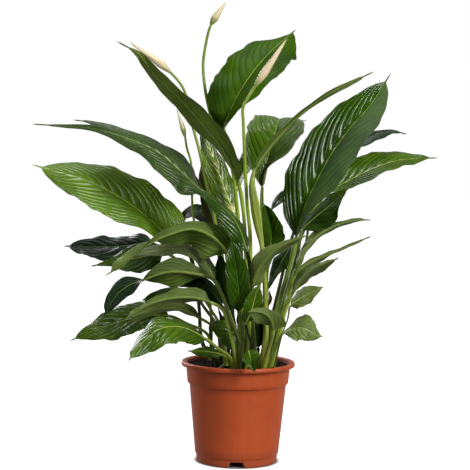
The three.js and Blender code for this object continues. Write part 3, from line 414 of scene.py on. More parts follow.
def mesh_object(name, verts, faces, materials, indices=None, uvs=None, reals=None):
    mesh = bpy.data.meshes.new(name)
    mesh.from_pydata([tuple(v) for v in np.asarray(verts) * MM], [], faces)
    if indices is not None:
        mesh.polygons.foreach_set("material_index", indices)
    mesh.polygons.foreach_set("use_smooth", [True] * len(mesh.polygons))
    loops = np.zeros(len(mesh.loops), dtype=np.int32)
    mesh.loops.foreach_get("vertex_index", loops)
    for layer_name, values in (("blade", uvs), ("size", reals)):
        if values is not None:
            layer = mesh.uv_layers.new(name=layer_name)
            layer.data.foreach_set("uv", np.asarray(values, dtype=np.float32)[loops].ravel())
    for material in materials:
        mesh.materials.append(material)
    mesh.validate()
    mesh.update()
    return link_object(name, mesh)


# ---------------------------------------------------------------- materials
SOCKETS = {
    "color": "Base Color", "rough": "Roughness", "shine": "Specular IOR Level",
    "relief": "Normal", "glow": "Emission Strength", "glow_color": "Emission Color",
}


class Nodes:
    """Short ways to add nodes to a tree."""

    def __init__(self, tree):
        self.tree = tree

    def feed(self, socket, value):
        """Sets a socket to a number, a vector or a colour, or links an output to it."""
        if isinstance(value, (int, float)):
            socket.default_value = value
        elif isinstance(value, tuple):
            socket.default_value = value if socket.type == "VECTOR" else (*value, 1.0)
        else:
            self.tree.links.new(value, socket)

    def add(self, kind, feeds=None, **values):
        """Adds a node, feeds its sockets and gives its outputs."""
        made = self.tree.nodes.new("ShaderNode" + kind)
        for key, value in values.items():
            setattr(made, key, value)
        for key, value in (feeds or {}).items():
            self.feed(made.inputs[key], value)
        return made.outputs

    def math(self, operation, *values):
        return self.add("Math", dict(enumerate(values)), operation=operation)[0]

    def times(self, a, b):
        return self.math("MULTIPLY", a, b)

    def mix(self, factor, a, b, blend="MIX"):
        return self.add("Mix", {0: factor, 6: a, 7: b}, data_type="RGBA", blend_type=blend)[2]

    def shade(self, factor, a, b):
        return self.mix(factor, a, b, "MULTIPLY")

    def noise(self, vector, scale, detail, rough=0.5):
        feeds = {"Vector": vector, "Scale": scale, "Detail": detail, "Roughness": rough}
        return self.add("TexNoise", feeds)["Fac"]

    def random(self, value):
        return self.add("TexWhiteNoise", {"W": value}, noise_dimensions="1D")["Value"]

    def ramp(self, factor, *stops):
        made = self.tree.nodes.new("ShaderNodeValToRGB")
        elements = made.color_ramp.elements
        while len(elements) < len(stops):
            elements.new(0.5)
        for element, (place, color) in zip(elements, stops):
            element.position = place
            element.color = (*color, 1.0) if isinstance(color, tuple) else (color,) * 3 + (1.0,)
        self.feed(made.inputs[0], factor)
        return made.outputs[0]

    def split(self, vector):
        return self.add("SeparateXYZ", {0: vector})

    def stretch(self, vector, scale):
        """Coordinates whose height is scaled, for marks that run up and down."""
        return self.add("Mapping", {"Vector": vector, "Scale": (1.0, 1.0, scale)})[0]

    def span(self, value, start, end, low=0.0, high=1.0, **values):
        """Turns the numbers from start to end into those from low to high."""
        keys = ("Value", "From Min", "From Max", "To Min", "To Max")
        return self.add("MapRange", dict(zip(keys, (value, start, end, low, high))), **values)[0]

    def bump(self, height, strength, distance):
        feeds = {"Height": height, "Strength": strength, "Distance": distance}
        return self.add("Bump", feeds)["Normal"]

    def here(self):
        return self.add("TexCoord")["Object"]


class Finish(Nodes):
    """A material."""

    def __init__(self, name):
        self.material = bpy.data.materials.new(name)
        self.material.use_nodes = True
        super().__init__(self.material.node_tree)
        self.shader = self.tree.nodes["Principled BSDF"]

    def coat(self, **values):
        """Sets the shader's sockets and gives the material back."""
        for key, value in values.items():
            self.feed(self.shader.inputs[SOCKETS[key]], value)
        return self.material


def srgb(code):
    """A linear colour from its hexadecimal code."""
    return tuple(
        c / 12.92 if c <= 0.04045 else ((c + 0.055) / 1.055) ** 2.4
        for c in (channel / 255 for channel in bytes.fromhex(code)))


def palette(codes):
    return [srgb(code) for code in codes.split()]


YELLOW_GREEN = "647422 8aa02e 86a228"
# Each kind of leaf: the dark and the light green of its upper side, its veins, the dark and the
# light green of its underside, its roughness, how far in mm the ribs between the side veins stand
# proud, how dark the painted shade in the valleys along the side veins is, how much the side veins
# show as thin pale lines, how strongly it shines, and its stalk's colours from the soil to the top,
# whose darker foot in most kinds is painted shade under the clump.
KINDS = {
    "lime": ("466606 60820c b0c256 4a5a1e 64722e", 0.24, 1.0, 0.4, 0.15, 0.34,
        "323a16 4a5a1c 78922c"),
    "calm": ("244000 385800 96ac46 46541e 606c2e", 0.44, 0.6, 0.45, 0.0, 0.06, YELLOW_GREEN),
    "bright": ("2e4a04 486608 a0b24c 46541e 606c2e", 0.26, 1.7, 0.65, 0.0, 0.3, YELLOW_GREEN),
    "gleam": ("2c4c00 587a00 ced478 46541e 606c2e", 0.14, 3.0, 0.8, 0.6, 0.6, YELLOW_GREEN),
    "netted": ("2a4a00 466a02 a4b85c 46541e 606c2e", 0.26, 2.0, 0.5, 0.75, 0.34, YELLOW_GREEN),
    "pleated": ("1a3600 2e5000 96ae46 46541e 606c2e", 0.12, 3.0, 0.6, 0.0, 0.5,
        "768a32 708a2c 6e8a2a"),
    "deep": ("1c3604 325208 748e38 3c481e 545e2e", 0.21, 2.0, 0.65, 0.0, 0.34,
        "303c12 50641c 627e24"),
    "blue": ("0e200e 1c3218 587244 2c3816 424e26", 0.2, 1.8, 0.65, 0.0, 0.2,
        "323a1a 405020 50662e"),
    "pale": ("546828 72843e a0b060 54622c 707c3e", 0.3, 1.6, 0.4, 0.6, 0.34,
        "708232 788e32 7a9432"),
    "dim": ("1a3002 304c06 788c3c 38441a 505a28", 0.62, 0.8, 0.65, 0.0, 0.06,
        "46501e 5a6c24 607628"),
    "mist": ("263c0c 445c20 748a48 404e24 5a6436", 0.27, 1.8, 0.65, 0.0, 0.34,
        "364016 5a7024 6e8632"),
    "dusk": ("0c200e 1a3018 8c9c4a 34480c 50661e", 0.24, 2.2, 0.85, 0.0, 0.16,
        "545e26 64742e 6e8038"),
    "arch": ("546428 70803e 809838 384c10 586e26", 0.26, 2.2, 0.65, 0.0, 0.34,
        "3c461a 505e1e 6e822c"),
    "olive": ("1e3808 38580e 788e38 485a22 667638", 0.24, 1.6, 0.65, 0.0, 0.34,
        "8ea034 92a838 7c9234"),
    "high": ("223c06 3a5a0c 788c38 4a601a 687c2e", 0.24, 1.6, 0.65, 0.0, 0.34, YELLOW_GREEN),
    "sage": ("3e4e1e 606e36 86984e 5c702c 7a8c46", 0.46, 1.4, 0.4, 0.0, 0.34,
        "8c9e3a 8ea23e 7e903a"),
    # painted shade: near-black greens for the leaves and stalks that stand deep in the clump's
    # shade
    "shadow": ("0e1c04 1a2e0a 283c18 222c10 343c1a", 0.6, 1.2, 0.65, 0.0, 0.05,
        "222a10 222e10 1e2c0e"),
    "brown": ("323416 545426 76703e 4a422a 62563a", 0.36, 0.8, 0.65, 0.0, 0.34,
        "60582c 5a5a28 565828"),
    "dry": ("302214 684e2e 7e623c 342618 685032", 0.6, 0.5, 0.65, 0.0, 0.34,
        "46321e 604a2c 6e5834"),
    "bract": ("60622a 968c4a aaa060 606030 928850", 0.45, 0.3, 0.65, 0.0, 0.34,
        "787634 8c863e 968e50"),
}
# The stalks of some kinds are duller than others.
STALK_ROUGHNESS = {"dry": 0.7, "bract": 0.55}
# The half width in mm from which the ribs have their full height.
FULL_RIBS_AT = 36.0
# How fine the light and dark patches of a blade, its specks and a stalk's fibres are.
PATCH_SCALE, SPECK_SCALE, FIBRE_SCALE = 16.0, 420.0, 900.0
# How wide the midrib's pale line is at the blade's foot, in mm, and how much of that it loses.
MIDRIB, MIDRIB_LOSS = 1.5, 1.1
# The colour of the painted shade in the valleys along the side veins.
PAINTED_VALLEY_SHADE = (0.34, 0.42, 0.26)


def blade_nodes(n):
    """Where on the blade a point is, and the ribs between the side veins."""
    sideways, up, _ = n.split(n.add("UVMap", uv_map="blade")[0])
    wide, veins, _ = n.split(n.add("UVMap", uv_map="size")[0])
    across = n.math("ABSOLUTE", n.math("SUBTRACT", n.times(sideways, 2.0), 1.0))
    bend = n.times(n.times(across, across), VEIN_BEND)
    sweep = n.math("ADD", n.times(across, VEIN_SWEEP), bend)
    place = n.times(n.math("SUBTRACT", up, sweep), veins)
    rib = n.math("ABSOLUTE", n.math("SINE", n.times(place, math.pi)))
    return sideways, across, up, wide, place, rib


def blade_material(kind, under):
    greens, rough, ribs, valley_shade, threads, shine, _ = KINDS[kind]
    dark, light, veins, under_dark, under_light = palette(greens)
    n = Finish(f"{kind}_{'under' if under else 'upper'}")
    sideways, across, up, wide, place, rib = blade_nodes(n)
    here = n.here()
    patches = n.noise(here, PATCH_SCALE, 3.0)
    fine = n.noise(here, SPECK_SCALE, 4.0, 0.6)
    low, high = (under_dark, under_light) if under else (dark, light)
    color = n.ramp(patches, (0.34, low), (0.66, high))
    # each rib between two side veins has its own shade
    own = n.ramp(n.random(n.math("FLOOR", place)), (0.0, 0.90), (1.0, 1.12))
    color = n.shade(0.55 if under else 0.9, color, own)
    speck = n.ramp(fine, (0.3, (0.84, 0.86, 0.82)), (0.7, (1.12, 1.10, 1.12)))
    color = n.shade(0.6, color, speck)
    # the pleats are deep on one half of the blade only
    pleats = n.ramp(sideways, (0.48, 1.0), (0.52, 0.3)) if kind == "pleated" else 1.0
    line = n.times(n.ramp(rib, (0.0, 1.0), (0.30, 0.55), (0.70, 0.0)), pleats)
    if under:
        color = n.mix(n.times(line, 0.22), color, veins)
    else:
        # painted shade: the valleys along the side veins are darkened where the ribs beside them
        # would shade them
        color = n.shade(n.times(line, valley_shade), color, PAINTED_VALLEY_SHADE)
        thread = n.ramp(rib, (0.0, 1.0), (0.10, 0.5), (0.20, 0.0))
        color = n.mix(n.times(thread, threads), color, veins)
    if kind == "gleam" and not under:
        # painted highlights: pale streaks between the side veins, near the midrib, where the glossy
        # blade catches the light
        thirds = n.random(n.math("FLOOR", n.times(place, 3.0)))
        painted_glint = n.times(
            n.ramp(thirds, (0.50, 0.0), (0.85, 1.0)),
            n.ramp(across, (0.0, 0.8), (0.30, 0.5), (0.65, 0.0)))
        broken = n.ramp(n.noise(here, 90.0, 2.0), (0.35, 0.1), (0.6, 1.0))
        color = n.mix(n.times(painted_glint, broken), color, srgb("ced288"))
    if kind == "netted" and not under:
        # the margin and the tip are bleached
        far = n.math(
            "MAXIMUM", n.ramp(across, (0.80, 0.0), (0.97, 1.0)),
            n.ramp(up, (0.78, 0.0), (0.95, 1.0)))
        color = n.mix(n.times(far, 0.6), color, srgb("78825c"))
    # the midrib: a pale line that thins towards the tip
    reach = n.math("SUBTRACT", MIDRIB, n.times(up, MIDRIB_LOSS))
    rest = n.math("DIVIDE", n.times(across, wide), reach)
    midrib = n.ramp(rest, (0.0, 1.0), (0.55, 0.9), (1.0, 0.0))
    fade = n.ramp(up, (0.0, 1.0), (0.45, 0.9), (1.0, 0.35))
    shown = n.times(midrib, n.times(fade, 0.45 if under else 1.0))
    color = n.mix(shown, color, veins)
    if under:
        rough, shine = rough + 0.25, 0.25
    elif kind == "pleated":
        rough = n.ramp(sideways, (0.48, rough), (0.52, 0.68))
    ends = n.ramp(across, (0.0, 0.0), (0.10, 0.7), (0.35, 1.0), (0.85, 0.8), (1.0, 0.3))
    grown = n.math("MINIMUM", n.math("DIVIDE", wide, FULL_RIBS_AT), 1.0)
    height = n.times(n.times(n.math("POWER", rib, 0.7), ends), grown)
    height = n.times(height, pleats)
    if under:
        height = n.times(height, -0.6)
    height = n.math("ADD", height, n.times(fine, 0.12))
    relief = n.bump(height, 1.0, ribs * MM)
    return n.coat(color=color, rough=rough, shine=shine, relief=relief)


def stalk_material(name, colors, rough=0.38, reach=(0.14, 0.45)):
    """A stalk whose colour changes over a reach of heights in metres, with fine fibres. The change
    is partly the stalk's own and, where the foot is darker, painted shade under the clump.
    """
    foot, middle, top = palette(colors)
    n = Finish(name)
    here = n.here()
    place = n.span(n.split(here)[2], *reach)
    # partly painted shade: in most palettes the foot's colour is darker, under the clump
    color = n.ramp(place, (0.0, foot), (0.35, middle), (1.0, top))
    fibres = n.noise(n.stretch(here, 0.06), FIBRE_SCALE, 3.0, 0.6)
    patches = n.noise(here, 40.0, 3.0)
    color = n.shade(0.7, color, n.ramp(fibres, (0.3, 0.78), (0.7, 1.14)))
    color = n.shade(0.7, color, n.ramp(patches, (0.3, 0.80), (0.7, 1.16)))
    relief = n.bump(fibres, 0.3, 0.0004)
    return n.coat(color=color, rough=rough, shine=0.45, relief=relief)


def spathe_material(name, blush, green=0.06):
    """A cream bract, green up to a share of its length, with a green keel and fine stripes."""
    n = Finish(name)
    sideways, up, _ = n.split(n.add("UVMap", uv_map="blade")[0])
    color = n.ramp(
        up, (0.0, srgb("788838")), (green, srgb("8c984a")),
        (green + 0.12, srgb("cebe8e")), (green + 0.22, srgb("d8c8a2")),
        (0.85, srgb("decea8")), (1.0, srgb("b0a06e")))
    patches = n.ramp(n.noise(n.here(), 60.0, 4.0), (0.4, 0.0), (0.75, 1.0))
    color = n.mix(n.times(patches, 0.5), color, blush)
    keel = n.math("ABSOLUTE", n.math("SUBTRACT", sideways, 0.5))
    keel = n.ramp(keel, (0.0, 1.0), (0.06, 0.75), (0.13, 0.0))
    fade = n.ramp(up, (0.0, 1.0), (0.7, 0.55), (1.0, 1.0))
    color = n.mix(n.times(keel, fade), color, srgb("7a8e3e"))
    wave = n.math("SINE", n.times(sideways, TURN * SPATHE_STRIPES))
    stripes = n.math("ADD", n.times(wave, 0.5), 0.5)
    color = n.shade(0.35, color, n.ramp(stripes, (0.0, 0.88), (1.0, 1.03)))
    return n.coat(color=color, rough=0.5, relief=n.bump(stripes, 0.4, 0.0003))


def plastic_material():
    n = Finish("terracotta_plastic_finish")
    here = n.here()
    grain = n.noise(here, 1500.0, 2.0)
    scuffs = n.noise(n.stretch(here, 0.12), 55.0, 6.0, 0.7)
    cloud = n.noise(here, 9.0, 3.0)
    color = n.ramp(cloud, (0.3, srgb("aa4414")), (0.7, srgb("bc4e1c")))
    worn = n.ramp(scuffs, (0.35, (0.90, 0.88, 0.88)), (0.7, (1.08, 1.10, 1.12)))
    color = n.shade(0.5, color, worn)
    # darker and duller brown towards the bottom, in patches
    near_floor = n.span(n.split(here)[2], 0.03, 0.0)
    low_patches = n.times(n.times(near_floor, scuffs), 0.55)
    color = n.mix(low_patches, color, srgb("784832"))
    rough = n.ramp(scuffs, (0.3, 0.46), (0.75, 0.60))
    return n.coat(color=color, rough=rough, relief=n.bump(grain, 0.25, 0.0002))


def peat_material():
    n = Finish("peat_finish")
    here = n.here()
    crumbs = n.noise(here, 260.0, 6.0, 0.7)
    color = n.ramp(
        crumbs, (0.30, srgb("0a0705")), (0.54, srgb("1e160f")), (0.70, srgb("382a1e")),
        (0.80, srgb("6e5a44")))
    damp = n.ramp(n.noise(here, 30.0, 3.0), (0.35, 0.6), (0.7, 1.1))
    color = n.shade(0.7, color, damp)
    relief = n.bump(crumbs, 0.8, 0.002)
    return n.coat(color=color, rough=0.92, shine=0.12, relief=relief)


# ---------------------------------------------------------------- meshes
def tube(path, radii, side, upper, sides=STEM_SIDES, groove=0.0, flat=1.0):
    """A closed tube. side and upper are unit directions at each point of the path."""
    verts, uvs = [], []
    for i, angle, x, z in around(len(path), sides):
        dent = 1 - groove * max(0.0, z) ** 6
        verts.append(path[i] + side[i] * radii[i] * flat * x + upper[i] * radii[i] * z * dent)
        uvs.append((angle / TURN, i / (len(path) - 1)))
    return verts, ring_faces(len(path), sides), uvs


def blade_halves(forward, right, depth, s, half, left, right_seen, near, outline, tail, near_tip):
    """From the midrib to either edge at each station, found from how wide each half shows."""
    width = half * blade_shape(s, outline, tail)
    width = np.maximum(width, LEAST_HALF * np.minimum(1, np.minimum(s, 1 - s) * 40))
    halves = []
    for values, sign, start, end in zip((left, right_seen), (-1, 1), near, near_tip or near):
        seen = smooth_values(values, s, tail)
        room = width ** 2 - seen ** 2
        deep = np.sqrt(0.5 * (room + np.sqrt(room ** 2 + (0.25 * width) ** 4)))
        # the drip tip is a thread that still shows
        thread = np.clip((s - DRIP_TIP_FROM) / DRIP_TIP_RISE, 0, 1)
        thread = thread * np.minimum(1, (1 - s) * 25 + 0.3)
        seen = np.where(np.abs(seen) < thread, np.sign(values[-1]) * thread, seen)
        towards = (start + (end - start) * s) * deep
        halves.append(right * (sign * seen)[:, None] + depth * towards[:, None])
    return halves


def blade_grid(points, s, u, halves, ups, widths, veins, rng):
    """The blade's middle surface: its arch, its ribs and its waved margin."""
    phase = rng.uniform(0, TURN, 6)
    lift = rng.uniform(0.6, 1.0)
    ends = np.minimum(1, np.minimum(s, 1 - s) * 8)
    grid = np.zeros((len(s), len(u), 3))
    for j, uj in enumerate(u):
        side = 0 if uj < 0 else 1
        wide = widths[side]
        a = abs(uj)
        arch = ARCH * lift * wide * 4 * a * (1 - a) * (1 - 0.4 * a)
        cell = veins * (s - VEIN_SWEEP * a - VEIN_BEND * a * a)
        rib = np.abs(np.sin(math.pi * cell))
        quilt = QUILT * wide * (rib - 0.6) * (4 * a * (1 - a)) ** 0.5
        quilt += HEAVE * wide * np.sin(TURN * cell / 3 + phase[4]) * a ** 3
        waves = WAVE * wide * a ** 2 * ripples(MARGIN_WAVES, s, phase, side)
        swing = 1 + ends * a ** 3 * ripples(MARGIN_SWINGS, s, phase, side)
        raised = arch + (quilt + waves) * ends
        grid[:, j] = points + halves[side] * (a * swing)[:, None] + ups[side] * raised[:, None]
    return grid


def blade_faces(rows, columns):
    """The faces of the blade's two sides and of its edge, and which of them are its underside."""
    size = (rows + 1) * columns
    faces, kinds = [], []
    for i in range(rows):
        for j in range(columns - 1):
            a = i * columns + j
            quad = (a, a + 1, a + 1 + columns, a + columns)
            faces += [quad, tuple(size + k for k in reversed(quad))]
            kinds += [0, 1]
    last = rows * columns
    edge = [(i, i + columns) for i in range(0, last, columns)]
    edge += [(i + columns, i) for i in range(columns - 1, last, columns)]
    edge += [(j + 1, j) for j in range(columns - 1)]
    edge += [(j, j + 1) for j in range(last, last + columns - 1)]
    faces += [(a, b, size + b, size + a) for a, b in edge]
    return faces, kinds + [0] * len(edge)


def sheath_wings(path, side, up, radius, sheath, q):
    """The broad sheath that wraps a stalk's upper part: an open scroll with a rounded rim."""
    wide = sheath * np.exp(-((q - SHEATH_AT) / SHEATH_LENGTH) ** 2)
    verts = []
    for i, _, x, z in around(len(path), WING_SIDES):
        out = radius[i] * 0.9 + wide[i]
        thick = radius[i] * 0.7 * z + 0.25 * wide[i] * x * x
        verts.append(path[i] + side[i] * out * x + up[i] * thick)
    return verts, ring_faces(len(path), WING_SIDES)


def make_leaf(
        name, materials, half, stalk, base, left, right, stem, blade, near=(1, -1),
        outline=(0.65, 0.95), tail=0.05, near_tip=None, facing=FRONT, sheath=0):
    rng = np.random.default_rng(seed_of(name))
    curve = crspline([(*base, SOIL_TOP + STALK_GAP), *stem, *blade])
    neck = (len(stem) + 1) / (len(stem) + len(blade))
    _, length = resample(curve, neck, 1, [0, 1])
    rows = int(np.clip(length / STATION_PITCH, *STATION_COUNTS))
    veins = float(np.clip(round(length / VEIN_PITCH), *VEIN_COUNTS))
    veins *= VEIN_CROWDING.get(name, 1.0)
    s = np.linspace(0, 1, rows + 1)
    points, _ = resample(curve, neck, 1, s)
    forward, sideways, depth = facing_frame(points, facing)
    halves = blade_halves(
        forward, sideways, depth, s, half, left, right, near, outline, tail, near_tip)
    ups = -np.cross(unit(halves[0]), forward), np.cross(unit(halves[1]), forward)
    widths = [np.linalg.norm(edge, axis=1) for edge in halves]
    # across each half: closer columns at the midrib and at the margin
    t = (1 - np.cos(np.linspace(0, math.pi, COLUMNS + 1))) / 2
    u = np.concatenate([-t[::-1], t[1:]])
    grid = blade_grid(points, s, u, halves, ups, widths, veins, rng)
    normal = unit(np.cross(np.gradient(grid, axis=1), np.gradient(grid, axis=0)))
    thin = BLADE_THICKNESS / 2 * (1 - MARGIN_THINNING * np.abs(u) ** 4)
    skin = normal * thin[None, :, None]
    verts = [*(grid + skin).reshape(-1, 3), *(grid - skin).reshape(-1, 3)]
    uvs = [*np.stack(np.meshgrid((u + 1) / 2, s), -1).reshape(-1, 2)] * 2
    mean = np.repeat((widths[0] + widths[1]) / 2, len(u))
    reals = [(wide, veins) for wide in mean] * 2
    faces, kinds = blade_faces(rows, len(u))
    # the stalk, and the midrib's ridge that runs on under the blade
    q = np.linspace(0, 1, STEM_STATIONS)
    stem_points, _ = resample(curve, 0, neck, q)
    stem_points = np.concatenate([[(*base, SOIL_TOP - STALK_ROOT)], stem_points[:-1]])
    ridge_at = np.linspace(0, RIDGE_END, RIDGE_STATIONS)
    low = np.clip((ridge_at * rows).astype(int), 0, rows - 1)
    part = (ridge_at * rows - low)[:, None]
    centre = grid[low, COLUMNS] * (1 - part) + grid[low + 1, COLUMNS] * part
    mean_up = unit(ups[0] + ups[1] + 1e-6)
    ridge_up = unit(mean_up[low] * (1 - part) + mean_up[low + 1] * part)
    swell = 1 + SWELLING * np.exp(-((q - SWELLING_AT) / SWELLING_LENGTH) ** 2)
    stout = STOUT_FOOT - (STOUT_FOOT - 1) * np.minimum(1, q / STOUT_REACH)
    stem_radius = stalk * stout * swell
    ridge_radius = stalk * (1 - ridge_at) ** 0.8 * 0.9 + 0.25
    sink = np.minimum(1, ridge_at * 12) * (ridge_radius * 0.75)
    path = np.concatenate([stem_points, centre - ridge_up * sink[:, None]])
    ahead = tangents(path)
    side = np.zeros_like(path)
    first = len(stem_points)
    side[first:] = unit(np.cross(ahead[first:], ridge_up))
    for i in range(first - 1, -1, -1):
        side[i] = unit(side[i + 1] - ahead[i] * np.dot(side[i + 1], ahead[i]))
    upper = np.cross(side, ahead)
    radii = np.concatenate([stem_radius, ridge_radius])
    tube_verts, tube_faces, _ = tube(path, radii, side, upper, groove=GROOVE, flat=BROAD)
    ridge_start = first * STEM_SIDES
    uvs += [(0.5, 0.0)] * ridge_start + [(0.5, a) for a in ridge_at for _ in range(STEM_SIDES)]
    reals += [(0.0, veins)] * len(tube_verts)
    faces += shifted(tube_faces, len(verts))
    kinds += [1 if min(f) >= ridge_start else 2 for f in tube_faces]
    verts += tube_verts
    if sheath:
        wing_verts, wing_faces = sheath_wings(stem_points, side, upper, stem_radius, sheath, q)
        uvs += [(0.5, 0.5)] * len(wing_verts)
        reals += [(0.0, 0.0)] * len(wing_verts)
        faces += shifted(wing_faces, len(verts))
        kinds += [2] * len(wing_faces)
        verts += wing_verts
    return mesh_object(name + "_plant", verts, faces, materials, kinds, uvs, reals)


def make_flower(name, radius, fat, base, stem, bud, stalk_finish, spathe_finish):
    curve = crspline([(*base, SOIL_TOP + STALK_GAP), *stem, *bud])
    foot = (len(stem) + 1) / (len(stem) + len(bud))
    q = np.linspace(0, 1, FLOWER_STATIONS)
    points, _ = resample(curve, 0, foot + 0.01, q)
    points = np.concatenate([[(*base, SOIL_TOP - STALK_ROOT)], points])
    q = np.concatenate([[0], q])
    _, right, depth = facing_frame(points, FRONT)
    verts, faces, uvs = tube(points, radius * (1.3 - 0.5 * q), right, depth, FLOWER_SIDES)
    stalk = mesh_object(name + "_stem", verts, faces, [stalk_finish], None, uvs)
    # the spathe: a leaf rolled up on itself
    rows, sides = SPATHE_GRID
    s = np.linspace(0, 1, rows + 1)
    points, _ = resample(curve, foot, 1, s)
    _, right, depth = facing_frame(points, FRONT)
    low = radius * 0.8
    body = np.where(
        s < WIDEST_AT, low + (fat - low) * np.sin(np.minimum(s / WIDEST_AT, 1) * math.pi / 2),
        np.maximum(0.35, fat * (np.maximum(1 - s, 0) / (1 - WIDEST_AT)) ** 0.75))
    verts, uvs = [], []
    for i, angle, x, z in around(rows + 1, sides):
        # how far round from the free edge, which winds up the spathe
        turn = (angle - (SEAM_START + SEAM_TURN * s[i])) / TURN % 1.0
        r = body[i] * (0.90 + 0.13 * turn + 0.03 * math.sin(6 * math.pi * turn + 3 * s[i]))
        verts.append(points[i] + right[i] * r * x + depth[i] * r * z)
        uvs.append((angle / TURN, s[i]))
    faces = ring_faces(rows + 1, sides)
    spathe = mesh_object(name + "_bud", verts, faces, [spathe_finish], None, uvs)
    return stalk, spathe


def between(start, end, count):
    """Points that divide the line from start to end evenly, without its ends."""
    steps = [k / (count + 1) for k in range(1, count + 1)]
    return [(start[0] + (end[0] - start[0]) * a, start[1] + (end[1] - start[1]) * a) for a in steps]


def pot_profile():
    """The pot's section, (radius, height) from the middle of its underside round to the inside."""
    low = POT_HEIGHT - RIM_DEPTH
    inner = FOOT_TOP_RADIUS - WALL
    foot_in = FOOT_RADIUS - FOOT_WIDTH
    foot_out = FOOT_RADIUS
    body_foot = FOOT_HEIGHT + STEP_SLOPE
    body_top = SHOULDER_FOOT_HEIGHT - STEP_SLOPE
    return [
        (0.0, FLOOR_UNDERSIDE), (FLOOR_RING, FLOOR_UNDERSIDE), (foot_in - 0.8, FLOOR_UNDERSIDE),
        (foot_in, FLOOR_UNDERSIDE - 0.8), (foot_in, NOTCH_HEIGHT - 0.4), (foot_in, 3.0),
        (foot_in + 0.1, 0.5), (foot_in + 0.6, 0.0), (foot_out - 0.8, 0.0), (foot_out - 0.1, 0.5),
        (foot_out + 0.3, 3.0), (foot_out + 0.6, NOTCH_HEIGHT - 0.4),
        (foot_out + 0.8, NOTCH_HEIGHT + 0.6), (FOOT_TOP_RADIUS, FOOT_HEIGHT - 0.7),
        (FOOT_TOP_RADIUS + 0.25, FOOT_HEIGHT - 0.1), (BODY_FOOT_RADIUS - 0.35, body_foot - 0.5),
        (BODY_FOOT_RADIUS, body_foot + 0.2),
        *between((BODY_FOOT_RADIUS, body_foot), (BODY_TOP_RADIUS, body_top), 8),
        (BODY_TOP_RADIUS, body_top - 0.6), (BODY_TOP_RADIUS + 0.4, body_top - 0.05),
        (SHOULDER_FOOT_RADIUS - 0.5, SHOULDER_FOOT_HEIGHT - 0.3),
        (SHOULDER_FOOT_RADIUS, SHOULDER_FOOT_HEIGHT + 0.4),
        *between((SHOULDER_FOOT_RADIUS, SHOULDER_FOOT_HEIGHT), (SHOULDER_TOP_RADIUS, low), 3),
        (SHOULDER_TOP_RADIUS, low - 0.7), (SHOULDER_TOP_RADIUS + 0.5, low - 0.1),
        (RIM_RADIUS - 1.6, low), (RIM_RADIUS - 0.5, low + 0.4), (RIM_RADIUS, low + 1.4),
        (RIM_RADIUS, POT_HEIGHT - 2.2), (RIM_RADIUS - 0.4, POT_HEIGHT - 1.0),
        (RIM_RADIUS - 1.2, POT_HEIGHT - 0.25), (RIM_RADIUS - 2.2, POT_HEIGHT),
        (RIM_INNER_RADIUS + 0.8, POT_HEIGHT), (RIM_INNER_RADIUS, POT_HEIGHT - 0.3),
        (SHOULDER_TOP_RADIUS - WALL + 0.3, POT_HEIGHT - 1.2),
        (SHOULDER_TOP_RADIUS - WALL, POT_HEIGHT - 2.4),
        (SHOULDER_FOOT_RADIUS - WALL, SHOULDER_FOOT_HEIGHT + STEP_SLOPE),
        (BODY_TOP_RADIUS - WALL, SHOULDER_FOOT_HEIGHT),
        (BODY_FOOT_RADIUS - WALL, FOOT_HEIGHT + 2 * STEP_SLOPE),
        (inner, FOOT_HEIGHT + STEP_SLOPE / 2), (inner, FLOOR_TOP + 1.0), (inner - 1.0, FLOOR_TOP),
        (FLOOR_RING, FLOOR_TOP), (0.0, FLOOR_TOP),
    ]


def make_pot(material):
    inside = pot_profile()[1:-1]
    count = len(inside)
    verts, faces = [], []
    notch_half = math.asin(NOTCH_WIDTH / 2 / FOOT_RADIUS)
    turn = TURN / NOTCH_COUNT
    for k in range(POT_SIDES):
        angle = TURN * k / POT_SIDES - math.pi / 2
        off = abs((angle + math.pi / 2 + turn / 2) % turn - turn / 2)
        round_off = np.clip((notch_half - off) / NOTCH_CORNER, 0, 1)
        for radius, height in inside:
            if FOOT_RADIUS - FOOT_WIDTH - 0.5 < radius and height < NOTCH_HEIGHT:
                height += (NOTCH_HEIGHT - height) * (round_off ** 0.5)
            verts.append((radius * math.cos(angle), radius * math.sin(angle), height))
    bottom = len(verts)
    verts += [(0, 0, FLOOR_UNDERSIDE), (0, 0, FLOOR_TOP)]
    starts = [(k * count, (k + 1) % POT_SIDES * count) for k in range(POT_SIDES)]
    for a, b in starts:
        faces += [(a + i, b + i, b + i + 1, a + i + 1) for i in range(count - 1)]
    for a, b in starts:
        faces += [(bottom, b, a), (bottom + 1, a + count - 1, b + count - 1)]
    pot = mesh_object("nursery_pot", verts, faces, [material])
    # drain holes through the floor
    work = bmesh.new()
    for i in range(HOLE_COUNT):
        angle = (i + 0.5) * TURN / HOLE_COUNT
        place = Matrix.Translation((
            HOLE_RING_RADIUS * math.cos(angle) * MM, HOLE_RING_RADIUS * math.sin(angle) * MM,
            (FLOOR_UNDERSIDE + WALL / 2) * MM))
        bmesh.ops.create_cone(
            work, cap_ends=True, segments=HOLE_SIDES, radius1=HOLE_RADIUS * MM,
            radius2=HOLE_RADIUS * MM, depth=4 * WALL * MM, matrix=place)
    cutter = link_object("drain_holes", bpy.data.meshes.new("drain_holes"))
    work.to_mesh(cutter.data)
    work.free()
    cut = pot.modifiers.new("holes", "BOOLEAN")
    cut.operation = "DIFFERENCE"
    cut.solver = "EXACT"
    cut.object = cutter
    bpy.context.view_layer.update()
    done = pot.evaluated_get(bpy.context.evaluated_depsgraph_get())
    done = bpy.data.meshes.new_from_object(done)
    pot.modifiers.clear()
    pot.data = done
    bpy.data.objects.remove(cutter)
    pot.data.shade_smooth()
    pot.data.set_sharp_from_angle(angle=SHARP_ANGLE)
    return pot


